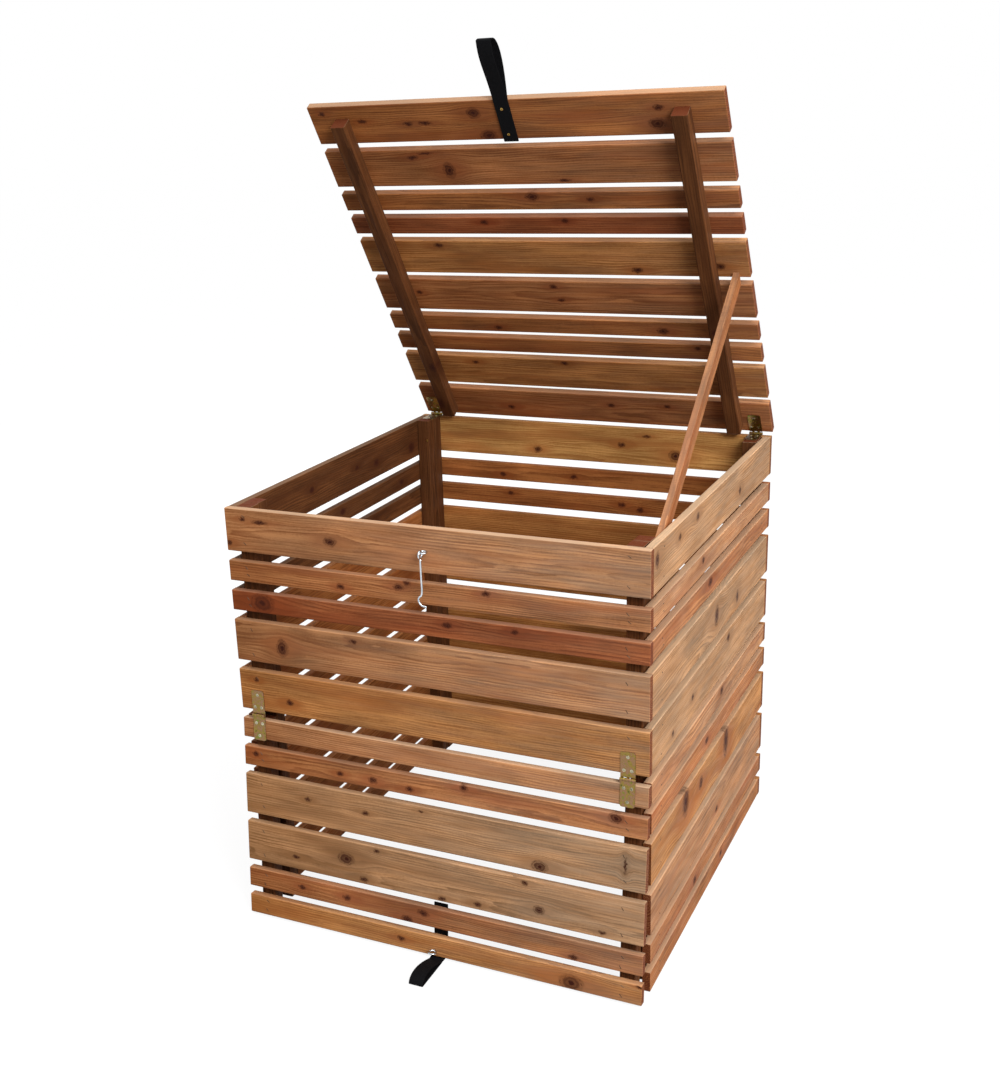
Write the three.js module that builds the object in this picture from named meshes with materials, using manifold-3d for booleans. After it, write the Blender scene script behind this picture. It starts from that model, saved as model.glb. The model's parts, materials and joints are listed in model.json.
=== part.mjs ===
// A slatted timber compost bin: four slatted walls on corner battens, a drop hatch in the lower
// front and a slatted lid on butt hinges, held open by a prop stick.
// Millimetres, +Z up, +Y to the rear. The origin is the middle of the back wall's foot.
import * as THREE from "three";
import { mergeVertices } from "three/addons/utils/BufferGeometryUtils.js";
import Module from "manifold-3d";

const wasm = await Module();
wasm.setup();

// Timber
const slatThick = 18;
const wideSlat = 95;
const narrowSlat = 46;
const wallGap = 21.5;
const hatchGap = 20.7;
const battenSide = 34;
const edgeRound = 2.5;
// Pieces that touch are drawn this far apart, and fused ones run this far into each other.
const seatGap = 0.3;
const weldDepth = 0.5;

// The bin
const binWidth = 940;
const binDepth = 960;
const crossBattenInset = 2;
const wallRows = [
  wideSlat, narrowSlat, narrowSlat, wideSlat, wideSlat, narrowSlat,
  narrowSlat, wideSlat, wideSlat, narrowSlat, narrowSlat,
];
const fixedFrontCount = 5;

// The lid
const lidNarrower = 10;
const lidOffset = 7;
const lidRows = [
  wideSlat, wideSlat, narrowSlat, narrowSlat, wideSlat,
  wideSlat, narrowSlat, narrowSlat, wideSlat, wideSlat,
];
const lidGap = 21.3;
const lidRearMargin = 2.4;
const lidAxisInset = 6;
const lidOpenDegrees = 56.2;
const lidBattenHingeGap = 17;
const lidBattenRear = 22.5;
const lidBattenFront = 30.6;
const lidBattenDeep = 32;

// The hatch stands a little ajar at rest.
const hatchAjarDegrees = 5;
const hatchBattenTop = 8;

// Rolled butt hinges, all four alike
const leafWidth = 31;
const leafLength = 59;
const leafThick = 1.6;
const leafCorner = 5;
const knuckleRadius = 3.5;
const pinRadius = 1.7;
const pinClearance = 0.12;
const knuckleCount = 5;
const knuckleGap = 0.4;
const leafRelief = 0.7;
const pinHeadRadius = 2.9;
const pinHeadHeight = 1.4;
const screwHoleRadius = 2.1;
const nearScrewPlace = 19;
const nearScrewSpread = 8;
const farScrewPlace = 48;
const lidHingeInset = 38;
const hatchHingeInset = 43;

// Cabin hook and its two screw eyes
const eyeWire = 1.9;
const eyeRadius = 8;
const eyeNeck = 4;
const hookWire = 2.1;
const hookLoopRadius = 7.4;
const hookEyeX = 5;
const hookEyeDrop = 47;
const hookLoopDegrees = 16;
const hookReach = 112;
const hookKinkReach = 97;
const hookStraightReach = 84;
const hookKinkOut = 8;
const hookTipOut = 9;
const hatchEyeX = 3;
const hatchEyeDrop = 7.75;
const hookBackShare = 0.85;
const hookReturnShare = 0.25;
const hookRiseShare = 0.5;
const hookFallShare = 1 / 3;

// Webbing pulls
const webWidth = 33;
const webThick = 1.4;
const lidPullX = 6;
const lidPullTail = 99;
const lidPullLoop = 139;
const lidPullOpening = 34;
const hatchPullX = 9;
const hatchPullTail = 124;
const hatchPullRun = 24;
const hatchPullLoop = 98;
const hatchPullOpening = 22;
const hatchPullBend = 2.8;
const hatchPullLift = 0.5;
const swellPower = 1.2;

// Prop stick
const propWide = 14;
const propDeep = 33;
const propHeadPlace = 484;
const propLeanDegrees = 5;
const propWallGap = 2.5;
const propFootGap = 4.7;

// Faces along round edges and curves
const edgeSteps = 1;
const barrelSteps = 6;
const holeSteps = 5;
const wireSides = 8;
const ringSteps = 18;
const loopSteps = 11;
const bendSteps = 4;

const xAxis = new THREE.Vector3(1, 0, 0);
const yAxis = new THREE.Vector3(0, 1, 0);
const zAxis = new THREE.Vector3(0, 0, 1);

const frontTimber = new THREE.MeshStandardMaterial({ color: 0xa5723f, roughness: 0.75, metalness: 0 });
const redTimber = new THREE.MeshStandardMaterial({ color: 0x96603a, roughness: 0.75, metalness: 0 });
const sideTimber = new THREE.MeshStandardMaterial({ color: 0xbd8a5c, roughness: 0.75, metalness: 0 });
const innerTimber = new THREE.MeshStandardMaterial({ color: 0x7c4c2a, roughness: 0.8, metalness: 0 });
const battenTimber = new THREE.MeshStandardMaterial({ color: 0x64391f, roughness: 0.8, metalness: 0 });
const lidTimber = new THREE.MeshStandardMaterial({ color: 0x83532e, roughness: 0.8, metalness: 0 });
const propTimber = new THREE.MeshStandardMaterial({ color: 0xb4653c, roughness: 0.8, metalness: 0 });
const yellowZinc = new THREE.MeshStandardMaterial({ color: 0xa8923c, roughness: 0.35, metalness: 1 });
const brightZinc = new THREE.MeshStandardMaterial({ color: 0xc3c8cc, roughness: 0.3, metalness: 1 });
const blackWebbing = new THREE.MeshStandardMaterial({ color: 0x101012, roughness: 0.9, metalness: 0 });

// Worked out from the sizes above
const sum = (list) => list.reduce((total, value) => total + value, 0);
const binHeight = sum(wallRows) + wallGap * (wallRows.length - 1);
const backFace = slatThick / 2;
const frontFace = backFace - binDepth;
const sideFace = binWidth / 2;
const lidWidth = binWidth - lidNarrower;
const lidAngle = THREE.MathUtils.degToRad(lidOpenDegrees);
const ajarAngle = THREE.MathUtils.degToRad(hatchAjarDegrees);
const leanAngle = THREE.MathUtils.degToRad(propLeanDegrees);
const axisHeight = knuckleRadius + seatGap;

function mesh(name, geometry, material) {
  const made = new THREE.Mesh(geometry, material);
  made.name = name;
  return made;
}

function toSolid(geometry) {
  const bare = geometry.clone();
  bare.deleteAttribute("normal");
  bare.deleteAttribute("uv");
  const merged = mergeVertices(bare);
  return new wasm.Manifold(
    new wasm.Mesh({
      numProp: 3,
      vertProperties: merged.attributes.position.array,
      triVerts: new Uint32Array(merged.index.array),
    }),
  );
}

function fuse(geometries) {
  const joined = geometries.map(toSolid).reduce((whole, piece) => whole.add(piece));
  const { vertProperties, triVerts } = joined.getMesh();
  const geometry = new THREE.BufferGeometry();
  geometry.setAttribute("position", new THREE.BufferAttribute(vertProperties, 3));
  geometry.setIndex(new THREE.BufferAttribute(triVerts, 1));
  geometry.computeVertexNormals();
  return geometry;
}

function roundedOutline(width, height, radius) {
  const right = width / 2 - radius;
  const top = height / 2 - radius;
  const quarter = Math.PI / 2;
  return new THREE.Shape()
    .absarc(right, top, radius, 0, quarter)
    .absarc(-right, top, radius, quarter, 2 * quarter)
    .absarc(-right, -top, radius, 2 * quarter, 3 * quarter)
    .absarc(right, -top, radius, 3 * quarter, 4 * quarter);
}

// A planed length of timber between two corners, its long edges rounded over.
function timber(low, high, grain) {
  const size = new THREE.Vector3().subVectors(high, low);
  const turn = new THREE.Matrix4();
  const section = { x: [size.y, size.z], y: [size.z, size.x], z: [size.x, size.y] }[grain];
  if (grain === "x") turn.makeBasis(yAxis, zAxis, xAxis);
  if (grain === "y") turn.makeBasis(zAxis, xAxis, yAxis);
  const outline = roundedOutline(section[0], section[1], edgeRound);
  const length = size[grain];
  const geometry = new THREE.ExtrudeGeometry(outline, {
    depth: length,
    bevelEnabled: false,
    curveSegments: edgeSteps,
  });
  geometry.translate(0, 0, -length / 2);
  geometry.applyMatrix4(turn);
  return { geometry, centre: new THREE.Vector3().addVectors(low, high).multiplyScalar(0.5) };
}

function timberMesh(name, low, high, grain, material) {
  const { geometry, centre } = timber(low, high, grain);
  const made = mesh(name, geometry, material);
  made.position.copy(centre);
  return made;
}

function fusedTimber(name, pieces, material) {
  const placed = pieces.map(([low, high, grain]) => {
    const { geometry, centre } = timber(low, high, grain);
    return geometry.translate(centre.x, centre.y, centre.z);
  });
  return mesh(name, fuse(placed), material);
}

const at = (x, y, z) => new THREE.Vector3(x, y, z);

// An outline drawn in Y and Z, made this wide along X about x = 0.
function extrudeAcross(outline, width, curveSegments = 1) {
  const geometry = new THREE.ExtrudeGeometry(outline, { depth: width, bevelEnabled: false, curveSegments });
  geometry.translate(0, 0, -width / 2);
  return geometry.applyMatrix4(new THREE.Matrix4().makeBasis(yAxis, zAxis, xAxis));
}

// Where each row starts and ends, counted from the first row's outer edge.
function rowPlaces(rows, gap) {
  let start = 0;
  return rows.map((height) => {
    const place = { start, end: start + height };
    start += height + gap;
    return place;
  });
}

const wallPlaces = rowPlaces(wallRows, wallGap);
const fixedFrontRows = wallPlaces.slice(0, fixedFrontCount);
const fixedFrontBottom = binHeight - fixedFrontRows[fixedFrontCount - 1].end;
const hatchAxisZ = fixedFrontBottom - wallGap / 2;

// The back wall: full-width slats with a batten near each end, fused into one panel
function backWall() {
  const innerFace = backFace - slatThick;
  const slats = wallPlaces.map(({ start, end }) => [
    at(-sideFace, innerFace, binHeight - end),
    at(sideFace, backFace, binHeight - start),
    "x",
  ]);
  const battens = [-1, 1].map((side) => {
    const outer = side * (sideFace - slatThick - crossBattenInset);
    const inner = outer - side * battenSide;
    return [
      at(Math.min(outer, inner), innerFace - battenSide, 0),
      at(Math.max(outer, inner), innerFace + weldDepth, binHeight),
      "z",
    ];
  });
  return fusedTimber("back_wall", [...slats, ...battens], innerTimber);
}

// Side walls: slats between the front and back slats, on two battens that stand behind the
// battens of the front and back walls
const sideFrontEnd = frontFace + slatThick + seatGap;
const sideBackEnd = backFace - slatThick - seatGap;
const cornerBattenFront = frontFace + slatThick + battenSide + 2 * seatGap;
const cornerBattenBack = backFace - slatThick - battenSide - 2 * seatGap;

function sideSlat(side, { start, end }) {
  const outer = side * sideFace;
  const inner = side * (sideFace - slatThick);
  return [
    at(Math.min(outer, inner), sideFrontEnd, binHeight - end),
    at(Math.max(outer, inner), sideBackEnd, binHeight - start),
    "y",
  ];
}

function sideBatten(side, low, sink) {
  const outer = side * (sideFace - slatThick + sink);
  const inner = outer - side * (battenSide + sink);
  return [
    at(Math.min(outer, inner), low, 0),
    at(Math.max(outer, inner), low + battenSide, binHeight),
    "z",
  ];
}

// The left wall carries the left batten of the upper front, which stands against its own.
function leftWall() {
  const slats = wallPlaces.map((place) => sideSlat(-1, place));
  const battens = [cornerBattenFront, cornerBattenBack - battenSide].map((low) =>
    sideBatten(-1, low, weldDepth),
  );
  const front = crossBatten(-1, frontFace + slatThick + seatGap, binHeight, fixedFrontBottom);
  front[1].y = cornerBattenFront + weldDepth;
  return fusedTimber("left_wall", [...slats, ...battens, front], innerTimber);
}

function rightWall() {
  const wall = new THREE.Group();
  wallPlaces.forEach((place, row) => {
    wall.add(timberMesh(`right_slat_${row + 1}`, ...sideSlat(1, place), sideTimber));
  });
  wall.add(timberMesh("right_batten_front", ...sideBatten(1, cornerBattenFront, -seatGap), battenTimber));
  const rear = cornerBattenBack - battenSide;
  wall.add(timberMesh("right_batten_rear", ...sideBatten(1, rear, -seatGap), battenTimber));
  return wall;
}

// A batten behind the slats of a front panel, near its left or right end
function crossBatten(side, front, top, bottom) {
  const outer = side * (sideFace - slatThick - crossBattenInset);
  const inner = outer - side * battenSide;
  return [
    at(Math.min(outer, inner), front, bottom),
    at(Math.max(outer, inner), front + battenSide, top),
    "z",
  ];
}

// The fixed upper front: its slats and the right one of its two short battens
function frontWall() {
  const wall = new THREE.Group();
  fixedFrontRows.forEach(({ start, end }, row) => {
    const low = at(-sideFace, frontFace, binHeight - end);
    const high = at(sideFace, frontFace + slatThick, binHeight - start);
    const material = end - start > narrowSlat ? frontTimber : redTimber;
    wall.add(timberMesh(`front_slat_${row + 1}`, low, high, "x", material));
  });
  const batten = crossBatten(1, frontFace + slatThick + seatGap, binHeight, fixedFrontBottom);
  wall.add(timberMesh("front_batten_right", ...batten, battenTimber));
  return wall;
}

// Rolled butt hinge. The pin lies along X at the origin, the leaf runs towards -Y, and the wood is
// below it.
const leafBottom = -knuckleRadius;
const knucklePitch = leafWidth / knuckleCount;

function knuckle(index) {
  const reach = -(knuckleRadius + leafRelief + weldDepth);
  const leafTop = leafBottom + leafThick;
  const topAngle = Math.PI - Math.asin(leafTop / knuckleRadius);
  const outline = new THREE.Shape()
    .moveTo(reach, leafBottom)
    .lineTo(0, leafBottom)
    .absarc(0, 0, knuckleRadius, -Math.PI / 2, topAngle)
    .lineTo(reach, leafTop);
  outline.holes.push(new THREE.Path().absarc(0, 0, pinRadius + pinClearance, 0, 2 * Math.PI));
  const geometry = extrudeAcross(outline, knucklePitch - knuckleGap, barrelSteps);
  return geometry.translate((index + 0.5) * knucklePitch - leafWidth / 2, 0, 0);
}

function leafPlate() {
  const near = -(knuckleRadius + leafRelief);
  const half = leafWidth / 2;
  const outline = new THREE.Shape()
    .moveTo(half, near)
    .lineTo(-half, near)
    .lineTo(-half, leafCorner - leafLength)
    .absarc(leafCorner - half, leafCorner - leafLength, leafCorner, Math.PI, 1.5 * Math.PI)
    .absarc(half - leafCorner, leafCorner - leafLength, leafCorner, 1.5 * Math.PI, 2 * Math.PI);
  const screws = [
    [-nearScrewSpread, -nearScrewPlace],
    [nearScrewSpread, -nearScrewPlace],
    [0, -farScrewPlace],
  ];
  screws.forEach(([x, y]) => {
    outline.holes.push(new THREE.Path().absarc(x, y, screwHoleRadius, 0, 2 * Math.PI));
  });
  const plate = new THREE.ExtrudeGeometry(outline, {
    depth: leafThick,
    bevelEnabled: false,
    curveSegments: holeSteps,
  });
  return plate.translate(0, 0, leafBottom);
}

function leaf(name, firstKnuckle) {
  const pieces = [leafPlate()];
  for (let index = firstKnuckle; index < knuckleCount; index += 2) pieces.push(knuckle(index));
  return mesh(name, fuse(pieces), yellowZinc);
}

function hingePin(name) {
  const half = leafWidth / 2;
  const profile = [
    [0, -half - pinHeadHeight],
    [pinHeadRadius, -half - pinHeadHeight / 2],
    [pinHeadRadius, -half],
    [pinRadius, -half],
    [pinRadius, half],
    [pinHeadRadius, half],
    [pinHeadRadius, half + pinHeadHeight / 2],
    [0, half + pinHeadHeight],
  ].map(([radius, along]) => new THREE.Vector2(radius, along));
  const geometry = new THREE.LatheGeometry(profile, 2 * barrelSteps);
  return mesh(name, geometry.rotateZ(-Math.PI / 2), yellowZinc);
}

const leftAndRight = [
  ["left", -1],
  ["right", 1],
];

// Lid hinges: the fixed leaf lies on top of the back wall and its posts.
const lidAxisY = backFace - lidAxisInset;
const lidAxisZ = binHeight + axisHeight;
const lidHingeX = sideFace - lidHingeInset;

function fixedLidLeaves() {
  const group = new THREE.Group();
  group.position.set(0, lidAxisY, lidAxisZ);
  leftAndRight.forEach(([name, side]) => {
    const fixedLeaf = leaf(`lid_hinge_${name}_fixed_leaf`, 0);
    const pin = hingePin(`lid_hinge_${name}_pin`);
    [fixedLeaf, pin].forEach((piece) => {
      piece.position.x = side * lidHingeX;
    });
    group.add(fixedLeaf, pin);
  });
  return group;
}

// Hatch hinges: on the front face, over the gap between the fixed rows and the hatch
const hatchAxisY = frontFace - axisHeight;
const hatchHingeX = sideFace - hatchHingeInset;

function fixedHatchLeaves() {
  const group = new THREE.Group();
  group.position.set(0, hatchAxisY, hatchAxisZ);
  leftAndRight.forEach(([name, side]) => {
    const fixedLeaf = leaf(`hatch_hinge_${name}_fixed_leaf`, 0);
    const pin = hingePin(`hatch_hinge_${name}_pin`);
    fixedLeaf.quaternion.setFromAxisAngle(yAxis, Math.PI);
    fixedLeaf.quaternion.multiply(new THREE.Quaternion().setFromAxisAngle(xAxis, Math.PI / 2));
    [fixedLeaf, pin].forEach((piece) => {
      piece.position.x = side * hatchHingeX;
    });
    group.add(fixedLeaf, pin);
  });
  return group;
}

// A screw eye: a level ring on a neck that points to +Y, into the wood. The neck ends at y = 0.
function screwEye(name) {
  const ring = new THREE.TorusGeometry(eyeRadius, eyeWire, wireSides, ringSteps);
  ring.translate(0, -eyeNeck - eyeRadius, 0);
  const neck = new THREE.CylinderGeometry(eyeWire, eyeWire, eyeNeck, wireSides);
  neck.translate(0, -eyeNeck / 2, 0);
  return mesh(name, fuse([ring, neck]), brightZinc);
}

// The hook hangs by its loop from the front of the eye's ring. Its origin is the middle of the
// ring's wire there, which is what it swings about.
const hookLoopDrop = hookLoopRadius - hookWire - eyeWire - seatGap;

function hook() {
  const loop = new THREE.TorusGeometry(hookLoopRadius, hookWire, wireSides, ringSteps);
  loop.rotateY(Math.PI / 2);
  loop.translate(0, 0, -hookLoopDrop);
  const top = -(hookLoopDrop + hookLoopRadius);
  const halfTurn = (hookReach - hookKinkReach) / 2;
  const route = new THREE.CatmullRomCurve3([
    at(0, 0, top),
    at(0, 0, (top - hookStraightReach) / 2),
    at(0, 0, -hookStraightReach),
    at(-hookKinkOut * hookBackShare, 0, -hookKinkReach + halfTurn * hookRiseShare),
    at(-hookKinkOut, 0, -hookKinkReach - halfTurn * hookRiseShare),
    at(-hookKinkOut * hookReturnShare, 0, -hookReach + halfTurn * hookFallShare),
    at(hookTipOut, 0, -hookReach),
  ], false, "centripetal");
  const section = new THREE.Shape().absarc(0, 0, hookWire, 0, 2 * Math.PI);
  const rod = new THREE.ExtrudeGeometry(section, {
    steps: 2 * ringSteps,
    curveSegments: wireSides / 2,
    extrudePath: route,
  });
  return mesh("hook", fuse([loop, rod]), brightZinc);
}

const hookLoopAngle = THREE.MathUtils.degToRad(hookLoopDegrees);
const hookPivot = at(
  hookEyeX - eyeRadius * Math.sin(hookLoopAngle),
  frontFace - seatGap - eyeNeck - eyeRadius * (1 + Math.cos(hookLoopAngle)),
  binHeight - hookEyeDrop,
);

function hookAndEye() {
  const eye = screwEye("front_eye");
  eye.position.set(hookEyeX, frontFace - seatGap, hookPivot.z);
  const swinging = hook();
  swinging.position.copy(hookPivot);
  return [eye, swinging];
}

// Webbing folded into a loop, its two tails lying together. The outline is drawn as (along,
// across), with the loop from along = 0 and the wood at across = 0, and place() bends it round what
// it passes. tailStops are the places along the tail that need a corner, and nearShare is how much
// of the opening bulges towards the wood's side.
function webbingPull({ name, tailStops, loop, opening, nearShare, place }) {
  const swell = (turn) => Math.abs(Math.sin(turn)) * Math.abs(Math.sin(turn / 2)) ** swellPower;
  const loopSide = (sign, share) => {
    const points = [];
    for (let step = 0; step <= loopSteps; step += 1) {
      const turn = (Math.PI * step) / loopSteps;
      const half = webThick + opening * share * swell(turn);
      points.push([(loop * (1 - Math.cos(turn))) / 2, webThick + sign * half]);
    }
    return points;
  };
  const tailSide = (across) => tailStops.map((along) => [along, across]);
  const outer = [
    ...tailSide(0),
    ...loopSide(-1, nearShare),
    ...loopSide(1, 1 - nearShare).reverse(),
    ...tailSide(2 * webThick).reverse(),
  ];
  const inner = [];
  const hollow = loop - 3 * webThick;
  for (let step = 0; step < 2 * loopSteps; step += 1) {
    const turn = (Math.PI * step) / loopSteps;
    const share = turn < Math.PI ? -nearShare : 1 - nearShare;
    const along = 2 * webThick + (hollow * (1 - Math.cos(turn))) / 2;
    inner.push([along, webThick + opening * share * swell(turn)]);
  }
  const outline = new THREE.Shape(outer.map(([along, across]) => place(along, across)));
  outline.holes.push(new THREE.Path(inner.map(([along, across]) => place(along, across))));
  return mesh(name, extrudeAcross(outline, webWidth), blackWebbing);
}

// The lid, drawn shut about its hinge axis and then raised
function lid() {
  const group = new THREE.Group();
  group.position.set(lidOffset, lidAxisY, lidAxisZ);
  group.rotation.x = -lidAngle;
  const underside = axisHeight;
  const places = rowPlaces(lidRows, lidGap).reverse();
  const length = places[0].end;
  places.forEach(({ start, end }, row) => {
    const front = lidRearMargin + end;
    const rear = lidRearMargin + start;
    const low = at(-lidWidth / 2, -front, underside);
    const high = at(lidWidth / 2, -rear, underside + slatThick);
    group.add(timberMesh(`lid_slat_${row + 1}`, low, high, "x", lidTimber));
  });
  leftAndRight.forEach(([name, side]) => {
    const reach = lidHingeX - leafWidth / 2 - lidBattenHingeGap - battenSide / 2;
    const middle = side * reach - lidOffset / 2;
    const top = underside - seatGap;
    const front = lidRearMargin + length - lidBattenFront;
    const low = at(middle - battenSide / 2, -front, top - lidBattenDeep);
    const high = at(middle + battenSide / 2, -lidBattenRear, top);
    group.add(timberMesh(`lid_batten_${name}`, low, high, "y", battenTimber));
    const movingLeaf = leaf(`lid_hinge_${name}_moving_leaf`, 1);
    movingLeaf.rotation.y = Math.PI;
    movingLeaf.position.x = side * lidHingeX - lidOffset;
    group.add(movingLeaf);
  });
  const edge = -(lidRearMargin + length);
  const pull = webbingPull({
    name: "lid_pull",
    tailStops: [-lidPullTail],
    loop: lidPullLoop,
    opening: lidPullOpening,
    nearShare: 1,
    place: (along, across) => new THREE.Vector2(edge - along, underside - seatGap - across),
  });
  pull.position.x = lidPullX - lidOffset;
  group.add(pull, prop(underside));
  return group;
}

// The prop stick: its head bears on the lid's underside, cut to lie flat there. It is as long as
// brings its foot to the front right post, with a gap.
function prop(underside) {
  const slope = lidAngle - leanAngle;
  const headRise = underside - seatGap;
  const headY = lidAxisY - propHeadPlace * Math.cos(lidAngle) + headRise * Math.sin(lidAngle);
  const footY = cornerBattenFront + battenSide + propFootGap + (propDeep / 2) * Math.cos(slope);
  const propLength = (headY - footY) / Math.sin(slope);
  const halfHead = propDeep / 2 / Math.cos(leanAngle);
  const foot = new THREE.Vector2(Math.sin(leanAngle), -Math.cos(leanAngle)).multiplyScalar(propLength);
  const acrossFoot = new THREE.Vector2(Math.cos(leanAngle), Math.sin(leanAngle)).multiplyScalar(propDeep / 2);
  const outline = new THREE.Shape([
    new THREE.Vector2(-halfHead, 0),
    new THREE.Vector2(halfHead, 0),
    new THREE.Vector2().addVectors(foot, acrossFoot),
    new THREE.Vector2().subVectors(foot, acrossFoot),
  ].reverse());
  const stick = mesh("prop_stick", extrudeAcross(outline, propWide), propTimber);
  const innerWall = sideFace - slatThick;
  stick.position.set(innerWall - propWallGap - propWide / 2 - lidOffset, -propHeadPlace, headRise);
  return stick;
}

// The drop hatch, drawn shut about its hinge axis and then swung ajar
function hatch() {
  const group = new THREE.Group();
  group.position.set(0, hatchAxisY, hatchAxisZ);
  group.rotation.x = -ajarAngle;
  const outer = axisHeight;
  const inner = outer + slatThick;
  const top = -wallGap / 2;
  const places = rowPlaces(wallRows.slice(fixedFrontCount), hatchGap);
  places.forEach(({ start, end }, row) => {
    const low = at(-sideFace, outer, top - end);
    const high = at(sideFace, inner, top - start);
    const material = end - start > narrowSlat ? frontTimber : redTimber;
    group.add(timberMesh(`hatch_slat_${row + 1}`, low, high, "x", material));
  });
  const lowest = places[places.length - 1];
  const bottom = top - lowest.end;
  leftAndRight.forEach(([name, side]) => {
    const batten = crossBatten(side, inner + seatGap, top - hatchBattenTop, bottom);
    group.add(timberMesh(`hatch_batten_${name}`, ...batten, battenTimber));
    const movingLeaf = leaf(`hatch_hinge_${name}_moving_leaf`, 1);
    movingLeaf.rotation.x = Math.PI / 2;
    movingLeaf.position.x = side * hatchHingeX;
    group.add(movingLeaf);
  });
  const eye = screwEye("hatch_eye");
  const lowestMiddle = top - (lowest.start + lowest.end) / 2;
  eye.position.set(hatchEyeX, outer - seatGap, lowestMiddle - hatchEyeDrop);
  group.add(eye, ...hatchPull(inner + seatGap));
  return group;
}

// The hatch's pull runs down behind its lowest slats, turns under the edge and lies forward on the
// ground, where its loop can flop. It is drawn in the hatch's own frame, where the ground slopes by
// the ajar angle.
function hatchPull(face) {
  const turn = Math.PI / 2 - ajarAngle;
  const middleY = face - hatchPullBend;
  const groundTop = hatchPullLift + 2 * webThick;
  const drop = groundTop + hatchPullBend - hatchAxisZ + middleY * Math.sin(ajarAngle);
  const middleZ = drop / Math.cos(ajarAngle);
  const bendLength = hatchPullBend * turn;
  const tail = hatchPullTail + bendLength + hatchPullRun;
  const bendStops = Array.from(
    { length: bendSteps + 1 },
    (_, step) => hatchPullTail - tail + (bendLength * step) / bendSteps,
  );
  const place = (along, across) => {
    const run = along + tail - hatchPullTail;
    const angle = Math.min(Math.max(run / hatchPullBend, 0), turn);
    const radius = hatchPullBend + across;
    const straight = run < 0 ? run : Math.max(run - bendLength, 0);
    return new THREE.Vector2(
      middleY + radius * Math.cos(angle) - straight * Math.sin(angle),
      middleZ - radius * Math.sin(angle) - straight * Math.cos(angle),
    );
  };
  const stops = [-tail, ...bendStops, -seatGap];
  const tailSide = (across) => stops.map((along) => place(along, across));
  const outline = new THREE.Shape([...tailSide(0), ...tailSide(2 * webThick).reverse()]);
  const pulls = [
    mesh("hatch_pull_tail", extrudeAcross(outline, webWidth), blackWebbing),
    webbingPull({
      name: "hatch_pull_loop",
      tailStops: [],
      loop: hatchPullLoop,
      opening: hatchPullOpening,
      nearShare: 1,
      place,
    }),
  ];
  pulls.forEach((piece) => {
    piece.position.x = hatchPullX;
  });
  return pulls;
}

const root = new THREE.Group();
root.add(backWall(), leftWall(), rightWall(), frontWall());
root.add(fixedLidLeaves(), fixedHatchLeaves(), ...hookAndEye());
root.add(lid(), hatch());

export default root;
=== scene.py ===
"""Looks for a slatted timber compost bin: oiled softwood, zinc plated ironmongery, black webbing.

Metres, +Z up, +Y to the rear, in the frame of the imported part. Sizes written in millimetres go
through mm(). The lid and the hatch are drawn shut about their hinges and then turned as the part
has them.
"""

import json
import math

import bmesh
import bpy
from bpy.props import FloatProperty, FloatVectorProperty, IntProperty, PointerProperty
from mathutils import Matrix, Vector

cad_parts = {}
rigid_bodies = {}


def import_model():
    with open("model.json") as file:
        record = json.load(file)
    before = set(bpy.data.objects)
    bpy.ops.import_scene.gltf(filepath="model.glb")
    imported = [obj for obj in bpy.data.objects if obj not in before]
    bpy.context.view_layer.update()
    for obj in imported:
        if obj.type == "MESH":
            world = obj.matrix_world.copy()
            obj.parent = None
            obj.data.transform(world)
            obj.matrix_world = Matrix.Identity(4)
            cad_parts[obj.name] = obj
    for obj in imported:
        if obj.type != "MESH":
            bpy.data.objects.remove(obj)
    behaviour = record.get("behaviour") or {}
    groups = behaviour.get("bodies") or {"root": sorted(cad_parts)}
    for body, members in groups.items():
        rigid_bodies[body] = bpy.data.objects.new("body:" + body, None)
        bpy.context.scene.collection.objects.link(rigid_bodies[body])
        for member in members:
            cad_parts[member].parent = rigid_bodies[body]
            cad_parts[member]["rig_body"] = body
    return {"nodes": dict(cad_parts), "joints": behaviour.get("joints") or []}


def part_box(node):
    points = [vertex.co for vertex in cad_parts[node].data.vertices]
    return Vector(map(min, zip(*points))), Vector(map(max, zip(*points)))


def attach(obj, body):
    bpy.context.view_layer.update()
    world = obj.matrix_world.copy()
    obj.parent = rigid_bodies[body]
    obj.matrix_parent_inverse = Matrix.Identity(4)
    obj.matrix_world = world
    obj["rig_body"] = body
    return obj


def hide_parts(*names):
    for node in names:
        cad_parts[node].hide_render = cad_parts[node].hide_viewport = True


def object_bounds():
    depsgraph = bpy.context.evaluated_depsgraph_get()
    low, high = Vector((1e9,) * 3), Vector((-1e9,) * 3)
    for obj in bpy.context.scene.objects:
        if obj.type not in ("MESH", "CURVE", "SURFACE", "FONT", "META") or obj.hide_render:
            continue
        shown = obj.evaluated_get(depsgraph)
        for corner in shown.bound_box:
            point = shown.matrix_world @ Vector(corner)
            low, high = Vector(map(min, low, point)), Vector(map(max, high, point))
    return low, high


bl_info = {
    "name": "Slatted compost bin",
    "version": (1, 0, 0),
    "blender": (4, 5, 0),
    "location": "3D View > Sidebar > Compost bin",
    "description": "Dresses a slatted timber compost bin with boards, fixings and webbing",
    "category": "Object",
}

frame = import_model()
NODES = frame["nodes"]
CAD_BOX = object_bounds()
MM = 0.001

LID_OPEN = 56.2
HATCH_AJAR = 5.0
SLAT_THICK = 18
WIDE_SLAT = 95
ROWS = 11
FIXED_ROWS = 5
# How a Mix node blends two colours
COLOURS = {"data_type": "RGBA", "clamp_factor": True, "out": "Result"}
# What every colour setting has
SWATCH = {"subtype": "COLOR", "size": 4, "min": 0, "max": 1}


def linear(code):
    """An sRGB hex colour as linear RGBA."""
    channels = [int(code[i : i + 2], 16) / 255 for i in (1, 3, 5)]
    return [c / 12.92 if c <= 0.04045 else ((c + 0.055) / 1.055) ** 2.4 for c in channels] + [1.0]


def mm(*values):
    return Vector(values) * MM


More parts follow.
